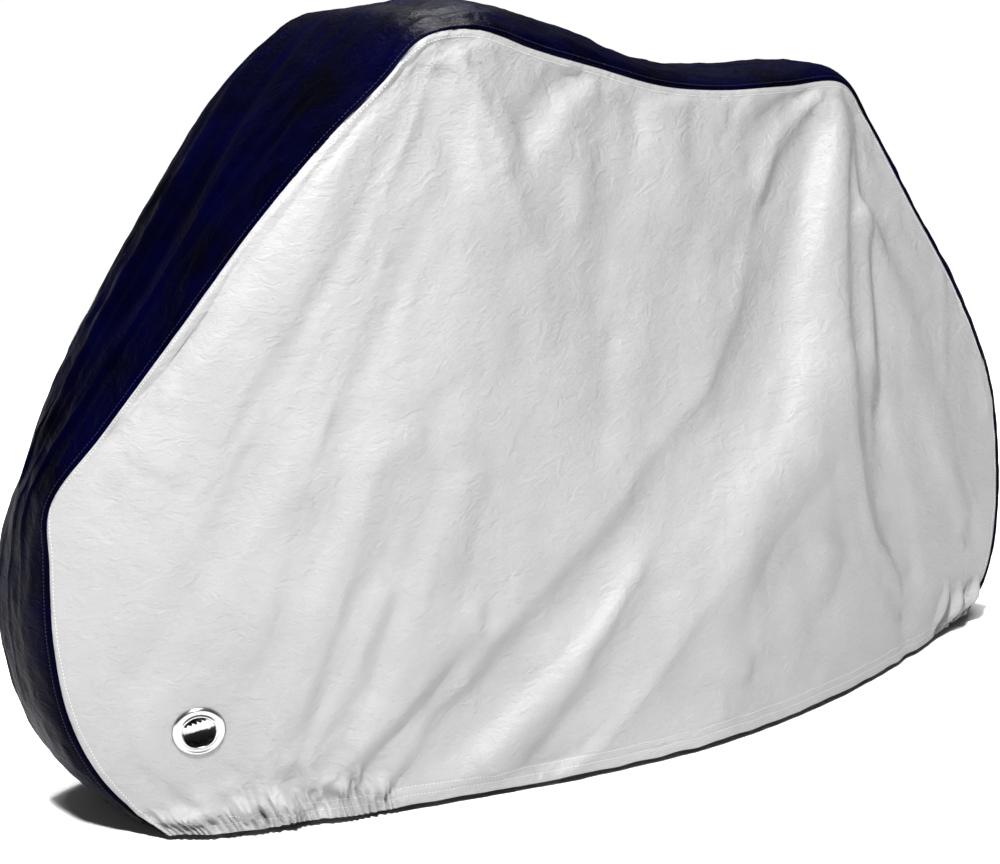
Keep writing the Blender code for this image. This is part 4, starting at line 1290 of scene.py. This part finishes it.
    def pouches(self, hem_walk: np.ndarray, hem_rest: np.ndarray, from_hem: np.ndarray,
                drawn: np.ndarray) -> np.ndarray:
        """How far the elastic hem's gathers and the slack above them lift the cloth.

        Args:
            hem_walk: Walked distance from the front end of the hem.
            hem_rest: Walked distance to its rear end.
            from_hem: Distance above the hem's edge.
            drawn: The gathers' waves.

        Returns:
            The lift at each point, metres.
        """
        fade = 1 - smoothstep((from_hem - GATHER_TOP) / GATHER_TOP)
        hold = (smoothstep((FRONT_ELASTIC - hem_walk) / 0.05)
                + smoothstep((REAR_ELASTIC - hem_rest) / 0.04))
        slack = crinkle(hem_walk, from_hem * 0.35, 0.020, self.seed + 10)
        lift = self.gather_height * drawn * fade
        lift += self.slack_height * slack * hold * bell(from_hem, 0.045, 0.030)
        for puckers, walk in ((FRONT_PUCKERS, hem_walk), (REAR_PUCKERS, hem_rest)):
            for spot in puckers:
                reach = np.hypot((walk - spot.at) / spot.half_width,
                                 (from_hem - spot.above) / spot.half_height)
                dome = 0.5 + 0.5 * np.cos(np.pi * np.clip(reach, 0.0, 1.0))
                lift += self.pucker_gain * spot.lift * dome
        return lift

    def hole(self) -> np.ndarray:
        """Open the cloth under the eyelet.

        Returns:
            True for each cell that is cut away.
        """
        surface = self.sheet.surface
        middles = (surface[:-1, :-1] + surface[1:, 1:] + surface[1:, :-1] + surface[:-1, 1:]) / 4
        gone = self.seat.beside(middles)[0] < CUT_RADIUS
        touches = np.zeros(surface.shape[:2], int)
        for i in (0, 1):
            for j in (0, 1):
                touches[i:i + gone.shape[0], j:j + gone.shape[1]] += gone
        rim = (touches > 0) & (touches < 4)
        offset = surface[rim] - self.seat.centre
        offset = offset - (offset @ self.seat.normal)[:, None] * self.seat.normal
        surface[rim] = self.seat.centre + unit(offset) * CUT_RADIUS
        return gone

    def build(self) -> bpy.types.Object:
        """Drape the panel and make its piece.

        Returns:
            The piece.
        """
        self.drape()
        return self.sheet.build(f"cover_side_{self.side.label}", self.uv, self.hole())

    def sew(self) -> bpy.types.Object:
        """Sew a side panel's hem and its seam's top stitching.

        Returns:
            The stitches.
        """
        work = Stitching(f"stitches_side_{self.side.label}")
        columns, rows = self.sheet.spans()
        inside = slice(6, -6)
        for distance in HEM_ROWS:
            points, normals = offset_line(self.sheet, rows, distance, 1)
            work.row(points[inside], normals[inside])
        points, normals = offset_line(self.sheet, rows[:, -1:] - rows, SEAM_ROW, 1, True)
        work.row(points[inside], normals[inside])
        for distance, reverse in ((columns, False), (columns[-1:] - columns, True)):
            points, normals = offset_line(self.sheet, distance, SEAM_ROW, 0, reverse)
            work.row(points[8:-4], normals[8:-4])
        return work.build()


@dataclass
class CentrePanel:
    """The long dark panel over the top, from the front hem to the rear hem."""

    seams: Seams
    crispness: float = 2.2             # how sharp the crests of its creases are
    ripples: tuple[Ripple, ...] = (Ripple(0.0030, 0.050, 0.45), Ripple(0.0016, 0.026, 0.7))
    fine_height: float = 0.0009
    seam_relief: SeamRelief = SeamRelief(cell=0.018, reach=0.014, roll=0.0007)
    gather_wave: float = 0.0095
    gather_height: float = 0.0020
    columns: int = 69
    seed: int = 61
    sheet: Sheet = field(init=False)
    uv: tuple[np.ndarray, np.ndarray] = field(init=False)

    def crown(self, at: np.ndarray, across: np.ndarray, coarse: np.ndarray) -> np.ndarray:
        """The panel's surface.

        Args:
            at: Fractional stations of its rows.
            across: Shares across of its columns, -1 at the left seam.
            coarse: Stations of the solid panel's rows, whose directions it keeps.

        Returns:
            Its points.
        """
        left, right = (read_path(self.seams.paths[side], coarse) for side in Side)
        proud = unit(np.cross(unit(np.gradient((left + right) / 2, axis=0)), right - left))
        for _ in range(3):
            proud[1:-1] = unit(proud[:-2] + 2 * proud[1:-1] + proud[2:])
        proud = unit(np.stack([np.interp(at, coarse, proud[:, axis]) for axis in range(3)], 1))
        left, right = (read_path(self.seams.paths[side], at) for side in Side)
        numbers = np.arange(len(STATIONS))
        crown = np.interp(at, numbers, [station.crown for station in STATIONS])[:, None]
        lean = np.interp(at, numbers, [station.lean for station in STATIONS])[:, None]
        rise = crown * (1 - np.abs(across) ** CROWN_POWER) ** CROWN_ROUND * (1 + lean * across)
        edge = smoothstep((1 - np.abs(across)) / 0.2)
        rise = rise + self.folded(CENTRE_FOLDS, at, across) * edge
        share = ((1 - across) / 2)[None, :, None]
        span = left[:, None] * share + right[:, None] * (1 - share)
        return span + proud[:, None] * rise[..., None]

    @staticmethod
    def folded(folds: Sequence[CentreFold], at: np.ndarray, across: np.ndarray,
               power: float = 1.0) -> np.ndarray:
        """Add up how far folds lift the panel.

        Args:
            folds: The folds.
            at: Fractional stations of the rows.
            across: Shares across of the columns.
            power: Above 1 for crests that are crisper.

        Returns:
            The lift at each point, metres.
        """
        lift = np.zeros((len(at), len(across)))
        for fold in folds:
            first, last = station_index(fold.station), station_index(fold.to_station)
            share = (at - first) / (last - first)
            ridge = fold.across + (fold.to_across - fold.across) * share
            reach = np.clip(np.abs(across - ridge[:, None]) / fold.width, 0.0, 1.0)
            shape = (0.5 + 0.5 * np.cos(np.pi * reach)) ** power
            lift += fold.lift * fold_fade(share)[:, None] * shape
        return lift

    def build(self) -> bpy.types.Object:
        """Drape the panel and make its piece.

        Returns:
            The piece.
        """
        seams = self.seams
        stretches = ((0, seams.corner, CAD_ROWS), (seams.corner, seams.rear, CAD_COLUMNS),
                     (seams.rear, seams.last, CAD_ROWS))
        coarse = np.concatenate([seams.stations(a, b, np.linspace(0, 1, n + 1))[1:]
                                 for a, b, n in stretches])
        coarse = np.r_[0.0, coarse]
        at = seams.stations(0, seams.last, joined_spans(((0, 0.025, 34), (0.025, 0.975, 330),
                                                         (0.975, 1, 34))))
        across = np.sin(np.linspace(-1.0, 1.0, self.columns) * np.pi / 2)
        self.sheet = Sheet(self.crown(at, across, coarse), False)
        along, over = self.sheet.spans()
        along = np.broadcast_to(along.mean(axis=1)[:, None], along.shape)
        to_seam = np.minimum(over, over[:, -1:] - over)
        middle = over - over[:, -1:] / 2
        to_hem = np.minimum(along, along[-1:] - along)
        lift = self.folded(CENTRE_CREASES, at, across, self.crispness)
        patchy = 0.6 + 0.4 * value_noise(along, middle, 0.15, self.seed)
        for number, ripple in enumerate(self.ripples):
            crests = crinkle(middle, along * ripple.stretch, ripple.cell, self.seed + 1 + number)
            lift += ripple.height * crests * patchy
        lift += self.fine_height * value_noise(middle, along, 0.016, self.seed + 3)
        lift = lift * smoothstep(to_seam / 0.030) * smoothstep(to_hem / 0.030)
        lift += self.seam_relief.lift(along, to_seam, self.seed + 4)
        lift -= hem_dents(to_hem)
        waves = gather(middle + 1.0, 9.0, self.gather_wave, self.seed + 5)  # over its whole width
        fade = 1 - smoothstep((to_hem - GATHER_TOP) / GATHER_TOP)
        lift += self.gather_height * waves * fade * smoothstep(to_seam / 0.01)
        self.sheet.lift(lift)
        self.uv = (along, middle)
        return self.sheet.build("cover_centre", self.uv)

    def sew(self) -> bpy.types.Object:
        """Sew the centre panel's two hems and the top stitching along its seams.

        Returns:
            The stitches.
        """
        work = Stitching("stitches_centre")
        along, over = self.sheet.spans()
        for distance in HEM_ROWS:
            for reach, reverse in ((along, False), (along[-1:] - along, True)):
                points, normals = offset_line(self.sheet, reach, distance, 0, reverse)
                work.row(points[4:-4], normals[4:-4])
        for reach, reverse in ((over, False), (over[:, -1:] - over, True)):
            points, normals = offset_line(self.sheet, reach, SEAM_ROW, 1, reverse)
            work.row(points[10:-10], normals[10:-10])
        return work.build()


class Stitching:
    """Rows of thread over a finished piece of cloth."""

    BATCH = 60  # stitches made at once; more at a time is slower

    def __init__(self, name: str) -> None:
        """Start without a stitch.

        Args:
            name: Name of the piece.
        """
        self.name = name
        self.stitches: list[Matrix] = []

    def row(self, points: np.ndarray, normals: np.ndarray, pitch: float = STITCH_PITCH) -> None:
        """Sew along a line.

        Args:
            points: The line on the cloth.
            normals: Directions out of the cloth along it.
            pitch: Length from one stitch to the next.
        """
        length = walked(points)
        for middle in np.arange(pitch, length[-1] - pitch / 2, pitch):
            start, end = (self.at(middle + half, length, points)
                          for half in (-pitch / 2, pitch / 2))
            way = unit(end - start)
            out = unit(self.at(middle, length, normals))
            beside = unit(np.cross(out, way))
            centre = (start + end) / 2 + out * STITCH_RISE
            axes = np.stack([way, beside, np.cross(way, beside)], axis=1)
            turn = Matrix([[*line] for line in axes]).to_4x4()
            self.stitches.append(Matrix.Translation(Vector(place(*centre))) @ turn)

    @staticmethod
    def at(walk: float, length: np.ndarray, values: np.ndarray) -> np.ndarray:
        """Read a line at a walked distance.

        Args:
            walk: The distance.
            length: Walked distance to each of the line's points.
            values: What the line holds at each point.

        Returns:
            The value there.
        """
        return np.array([np.interp(walk, length, values[:, axis]) for axis in range(3)])

    def build(self) -> bpy.types.Object:
        """Make all the stitches as one piece.

        Returns:
            The piece.
        """
        whole = bmesh.new()
        shape = Matrix.Diagonal([size / 2 for size in STITCH_SIZE] + [1.0])
        for first in range(0, len(self.stitches), self.BATCH):
            batch = bmesh.new()
            for stitch in self.stitches[first:first + self.BATCH]:
                made = bmesh.ops.create_icosphere(batch, subdivisions=1, radius=1.0)
                bmesh.ops.transform(batch, verts=made["verts"], matrix=stitch @ shape)
            mesh = mesh_from(batch, "batch")
            whole.from_mesh(mesh)
            bpy.data.meshes.remove(mesh)
        mesh = mesh_from(whole, self.name)
        mesh.shade_smooth()
        return show(mesh)


def offset_line(sheet: Sheet, distance: np.ndarray, wanted: float, axis: int,
                reverse: bool = False) -> tuple[np.ndarray, np.ndarray]:
    """Find the line on a sheet at a set distance from one of its edges.

    Args:
        sheet: The finished sheet.
        distance: Distance of each grid point from that edge.
        wanted: The line's distance.
        axis: The grid axis along which the distance grows.
        reverse: Whether it grows against the axis.

    Returns:
        The line's points and the normals there.
    """
    surface, normals = sheet.surface, sheet.normals()
    if axis == 0:
        surface, normals, distance = (np.swapaxes(a, 0, 1) for a in (surface, normals, distance))
    if reverse:
        surface, normals, distance = surface[:, ::-1], normals[:, ::-1], distance[:, ::-1]
    picked = []
    for values in (surface, normals):
        picked.append(np.stack([
            [np.interp(wanted, reach, line[:, k]) for reach, line in zip(distance, values)]
            for k in range(3)], axis=1))
    return picked[0], picked[1]


@dataclass
class Eyelet:
    """A two-part metal eyelet: a domed face with a rolled bead, and a washer behind the cloth."""

    seat: Seat
    side: Side

    STEPS = 96
    # Closed (radius, height) profiles, heights over the cloth's outer face.
    FACE = ((0.02200, -0.0046), (0.02200, 0.0030), (0.02235, 0.0043), (0.02320, 0.0051),
            (0.02430, 0.0052), (0.02520, 0.0047), (0.02610, 0.0038), (0.02740, 0.0034),
            (0.02900, 0.0038), (0.03050, 0.0046), (0.03180, 0.0049), (0.03300, 0.0045),
            (0.03410, 0.0035), (0.03510, 0.0023), (0.03580, 0.0010), (0.03600, 0.0002),
            (0.03560, 0.0000), (0.03300, 0.0006), (0.02600, 0.0006), (0.02320, 0.0002),
            (0.02320, -0.0030), (0.02620, -0.0030), (0.02560, -0.0042), (0.02400, -0.0050),
            (0.02260, -0.0052))
    WASHER = ((0.02350, -0.0020), (0.03220, -0.0020), (0.03300, -0.0024), (0.03270, -0.0029),
              (0.03180, -0.0032), (0.02350, -0.0032))

    def turned(self, name: str, profile: Sequence[tuple[float, float]]) -> bpy.types.Object:
        """Turn a closed profile around the eyelet's axis.

        Args:
            name: Name of the piece.
            profile: (radius, height) points.

        Returns:
            The piece.
        """
        bm = bmesh.new()
        verts = [bm.verts.new((radius, 0.0, height)) for radius, height in profile]
        edges = [bm.edges.new(pair) for pair in zip(verts, verts[1:] + verts[:1])]
        bmesh.ops.spin(bm, geom=verts + edges, cent=(0, 0, 0), axis=(0, 0, 1),
                       angle=2 * np.pi, steps=self.STEPS, use_merge=True)
        bmesh.ops.remove_doubles(bm, verts=bm.verts[:], dist=1e-6)
        bmesh.ops.recalc_face_normals(bm, faces=bm.faces[:])
        bmesh.ops.transform(bm, verts=bm.verts[:], matrix=self.seat.matrix())
        mesh = mesh_from(bm, name)
        mesh.shade_smooth()
        mesh.set_sharp_from_angle(angle=np.radians(SHARP_METAL))
        return show(mesh)

    def build(self) -> tuple[bpy.types.Object, bpy.types.Object]:
        """Make the face and the washer.

        Returns:
            The two pieces.
        """
        label = self.side.label
        return (self.turned(f"cover_eyelet_{label}", self.FACE),
                self.turned(f"cover_washer_{label}", self.WASHER))


# ---- finishes -----------------------------------------------------------------------------
def linear(colour: str) -> tuple[float, float, float, float]:
    """Turn a hex colour into linear values.

    Args:
        colour: Such as "D6D6D6".

    Returns:
        Linear red, green, blue and 1.
    """
    parts = [int(colour[i:i + 2], 16) / 255 for i in (0, 2, 4)]
    return (*[c / 12.92 if c <= 0.04045 else ((c + 0.055) / 1.055) ** 2.4 for c in parts], 1.0)


def add_node(tree: bpy.types.NodeTree, kind: str, **values: object) -> bpy.types.Node:
    """Add a node and set it.

    Args:
        tree: The node tree.
        kind: The node's type.
        values: Properties by name, and inputs by name with spaces as underscores.

    Returns:
        The node.
    """
    node = tree.nodes.new(kind)
    for key, value in values.items():
        if hasattr(node, key):
            setattr(node, key, value)
        else:
            node.inputs[key.replace("_", " ")].default_value = value
    return node


@dataclass(frozen=True)
class Finish:
    """A material of one colour."""

    name: str
    colour: str
    roughness: float
    metallic: float = 0.0

    def shader(self) -> tuple[bpy.types.Material, bpy.types.Node]:
        """Start the material.

        Returns:
            The material and its shader node.
        """
        material = bpy.data.materials.new(self.name)
        material.use_nodes = True
        node = material.node_tree.nodes["Principled BSDF"]
        node.inputs["Base Color"].default_value = linear(self.colour)
        node.inputs["Roughness"].default_value = self.roughness
        node.inputs["Metallic"].default_value = self.metallic
        return material, node

    def material(self) -> bpy.types.Material:
        """Make the material.

        Returns:
            The material.
        """
        return self.shader()[0]


@dataclass(frozen=True)
class ClothFinish(Finish):
    """Coated woven cloth: mottled, finely creased, with its weave."""

    dim: str = "808080"
    crease: float = 0.25
    weave: float = 0.05
    gloss: float = 0.5
    # Fine creases about 38, 17 and 8 mm apart: how many to the metre, how much closer they lie
    # one above the other, and their height.
    CREASES = ((26.0, 1.3, 1.0), (60.0, 1.9, 0.50), (120.0, 2.3, 0.30))
    CREASE_DEPTH = 0.008
    # Threads lie about 0.3 mm apart, too fine to show, so they are drawn 0.9 mm apart.
    THREAD_PITCH = 0.0009
    THREAD_DEPTH = 0.0003
    BANDS_TO_THE_METRE = 0.31416  # a wave texture's Scale for bands one metre apart

    def material(self) -> bpy.types.Material:
        """Make the cloth's material.

        Returns:
            The material.
        """
        material, shader = self.shader()
        tree = material.node_tree
        link = tree.links.new
        where = add_node(tree, "ShaderNodeTexCoord")
        cloud = add_node(tree, "ShaderNodeTexNoise", Scale=9.0, Detail=4.0, Roughness=0.6)
        link(where.outputs["Object"], cloud.inputs["Vector"])
        tone = add_node(tree, "ShaderNodeValToRGB")
        tone.color_ramp.elements[0].position = 0.35
        tone.color_ramp.elements[0].color = linear(self.dim)
        tone.color_ramp.elements[1].position = 0.65
        tone.color_ramp.elements[1].color = linear(self.colour)
        link(cloud.outputs["Fac"], tone.inputs["Fac"])
        link(tone.outputs["Color"], shader.inputs["Base Color"])
        worn = add_node(tree, "ShaderNodeMapRange", To_Min=self.roughness - 0.06,
                        To_Max=self.roughness + 0.08)
        link(cloud.outputs["Fac"], worn.inputs["Value"])
        link(worn.outputs["Result"], shader.inputs["Roughness"])
        shader.inputs["Specular IOR Level"].default_value = self.gloss

        height = None
        for spread, flat, size in self.CREASES:
            lie = add_node(tree, "ShaderNodeMapping")
            lie.inputs["Scale"].default_value = (spread, spread, spread * flat)
            link(where.outputs["Object"], lie.inputs["Vector"])
            noise = add_node(tree, "ShaderNodeTexNoise", Scale=1.0, Detail=2.0, Distortion=0.8)
            link(lie.outputs["Vector"], noise.inputs["Vector"])
            fold = add_node(tree, "ShaderNodeMath", operation="SUBTRACT")
            fold.inputs[1].default_value = 0.5
            link(noise.outputs["Fac"], fold.inputs[0])
            crest = add_node(tree, "ShaderNodeMath", operation="ABSOLUTE")
            link(fold.outputs[0], crest.inputs[0])
            part = add_node(tree, "ShaderNodeMath", operation="MULTIPLY_ADD")
            link(crest.outputs[0], part.inputs[0])
            part.inputs[1].default_value = -size
            part.inputs[2].default_value = 0.0
            if height is not None:
                link(height, part.inputs[2])
            height = part.outputs[0]
        crinkled = add_node(tree, "ShaderNodeBump", Strength=self.crease,
                            Distance=self.CREASE_DEPTH)
        link(height, crinkled.inputs["Height"])

        cloth = add_node(tree, "ShaderNodeUVMap", uv_map="cloth")
        threads = []
        for direction in ("X", "Y"):
            thread = add_node(tree, "ShaderNodeTexWave", bands_direction=direction,
                              Scale=self.BANDS_TO_THE_METRE / self.THREAD_PITCH)
            link(cloth.outputs["UV"], thread.inputs["Vector"])
            threads.append(thread)
        both = add_node(tree, "ShaderNodeMath", operation="MULTIPLY")
        link(threads[0].outputs["Fac"], both.inputs[0])
        link(threads[1].outputs["Fac"], both.inputs[1])
        woven = add_node(tree, "ShaderNodeBump", Strength=self.weave,
                         Distance=self.THREAD_DEPTH)
        link(both.outputs[0], woven.inputs["Height"])
        link(crinkled.outputs["Normal"], woven.inputs["Normal"])
        link(woven.outputs["Normal"], shader.inputs["Normal"])
        return material


# Polyester plain weave under a silver polyurethane coat: pale grey, even, finely creased, and
# with hardly a glint.
SILVER = ClothFinish("silver_coat", "8B8B8B", 0.55, 0.0, dim="858585", crease=0.50, weave=0.10,
                     gloss=0.40)
# The same cloth dyed black with a breath of navy: near black, blue where the light falls on it.
NIGHT = ClothFinish("night_coat", "000015", 0.45, 0.0, dim="000004", crease=0.40, weave=0.10,
                    gloss=0.012)
# Spun polyester thread: dull, a little lighter than the cloth it holds.
SILVER_THREAD = Finish("silver_thread", "C0C0C0", 0.60)
NIGHT_THREAD = Finish("night_thread", "0C0E1C", 0.60)
# Stamped brass under bright nickel plate: sharp, clear reflections on the rolled rim.
PLATE = Finish("bright_plate", "A8A8A8", 0.22, 1.0)


# ---- studio -------------------------------------------------------------------------------
@dataclass(frozen=True)
class Lamp:
    """An even light from far away, in one direction."""

    name: str
    azimuth: float
    elevation: float
    spread: float
    strength: float

    def build(self) -> bpy.types.Object:
        """Make the light.

        Returns:
            The light.
        """
        data = bpy.data.lights.new(self.name, "SUN")
        data.energy = self.strength
        data.angle = np.radians(self.spread)
        lamp = show(data)
        lamp.rotation_euler = (np.radians(90 - self.elevation), 0.0, np.radians(self.azimuth))
        return lamp


@dataclass(frozen=True)
class Softbox:
    """A near square light that looks at a point."""

    name: str
    location: tuple[float, float, float]
    target: tuple[float, float, float]
    size: float
    power: float

    def build(self) -> bpy.types.Object:
        """Make the light.

        Returns:
            The light.
        """
        data = bpy.data.lights.new(self.name, "AREA")
        data.energy = self.power
        data.size = self.size
        lamp = show(data)
        lamp.location = self.location
        way = Vector(self.target) - Vector(self.location)
        lamp.rotation_euler = way.to_track_quat("-Z", "Y").to_euler()
        return lamp


LAMPS = (
    Softbox("key", (-1.15, -1.70, 1.78), (0.30, -0.10, -0.45), 0.25, 225.0),
    Softbox("far", (1.00, 1.60, 2.20), (0.20, 0.20, -0.50), 0.30, 130.0),
    Lamp("overhead", 0.0, 88.0, 40.0, 3.15),
)


@dataclass(frozen=True)
class Studio:
    """Floor, lights and camera."""

    floor_colour: str = "F8F8F8"
    floor_half: float = 60.0
    world: float = 0.10
    lens: float = 70.56                # millimetres, on a sensor 36 mm wide
    camera_at: tuple[float, float, float] = (-1.250, -2.399, 0.162)
    camera_dip: float = 15.64          # degrees below the level ...
    camera_turn: float = -30.97        # ... and round from looking along +Y

    def floor(self) -> bpy.types.Object:
        """Lay the floor.

        Returns:
            The floor.
        """
        bm = bmesh.new()
        bmesh.ops.create_grid(bm, x_segments=1, y_segments=1, size=self.floor_half)
        bmesh.ops.translate(bm, verts=bm.verts[:], vec=(0.0, 0.0, -STEM_HEIGHT))
        mesh = mesh_from(bm, "floor")
        material, shader = Finish("floor", self.floor_colour, 0.9).shader()
        shader.inputs["Specular IOR Level"].default_value = 0.1
        mesh.materials.append(material)
        floor = show(mesh)
        return floor

    def build(self) -> None:
        """Set up the stage, the lights and the camera."""
        self.floor()
        world = bpy.data.worlds.new("studio")
        world.use_nodes = True
        light = world.node_tree.nodes["Background"]
        light.inputs["Color"].default_value = (1.0, 1.0, 1.0, 1.0)
        light.inputs["Strength"].default_value = self.world
        bpy.context.scene.world = world
        for lamp in LAMPS:
            lamp.build()
        data = bpy.data.cameras.new("camera")
        data.lens = self.lens
        data.sensor_width = 36.0
        data.clip_end = 200.0
        camera = show(data)
        camera.location = self.camera_at
        camera.rotation_euler = (np.radians(90 - self.camera_dip), 0.0,
                                 np.radians(self.camera_turn))
        bpy.context.scene.camera = camera
        bpy.context.scene.view_settings.view_transform = "Standard"


def fit_out(piece: bpy.types.Object, slot: Slot, finish: Finish, *nodes: str) -> None:
    """Finish a piece and seat it in the frame.

    Args:
        piece: The piece.
        slot: The record's slot for its finish; not used.
        finish: Its finish.
        nodes: The solids it stands for.
    """
    piece.data.materials.append(finish.material())
    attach(piece, "root")
    if nodes:
        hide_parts(*nodes)
    LOG.info("%s: %d faces", piece.name, len(piece.data.polygons))


def main() -> None:
    """Build every piece and the studio."""
    seams = Seams()
    for side in Side:
        panel = SidePanel(seams, side)
        cloth = panel.build()
        lengths = [f"side_panel_{side.label}_{part}" for part in ("front", "middle", "rear")]
        fit_out(cloth, Slot.SILVER, SILVER, *lengths, f"eyelet_strip_{side.label}")
        thread = panel.sew()
        fit_out(thread, Slot.SILVER, SILVER_THREAD)
        face, washer = Eyelet(panel.seat, side).build()
        fit_out(face, Slot.METAL, PLATE, f"eyelet_{side.label}")
        fit_out(washer, Slot.METAL, PLATE, f"eyelet_washer_{side.label}")
    centre = CentrePanel(seams)
    cloth = centre.build()
    lengths = [f"centre_panel_{part}" for part in ("front", "bar", "saddle", "rear")]
    fit_out(cloth, Slot.DARK, NIGHT, *lengths)
    thread = centre.sew()
    fit_out(thread, Slot.DARK, NIGHT_THREAD)
    Studio().build()


if __name__ == "__main__":
    main()
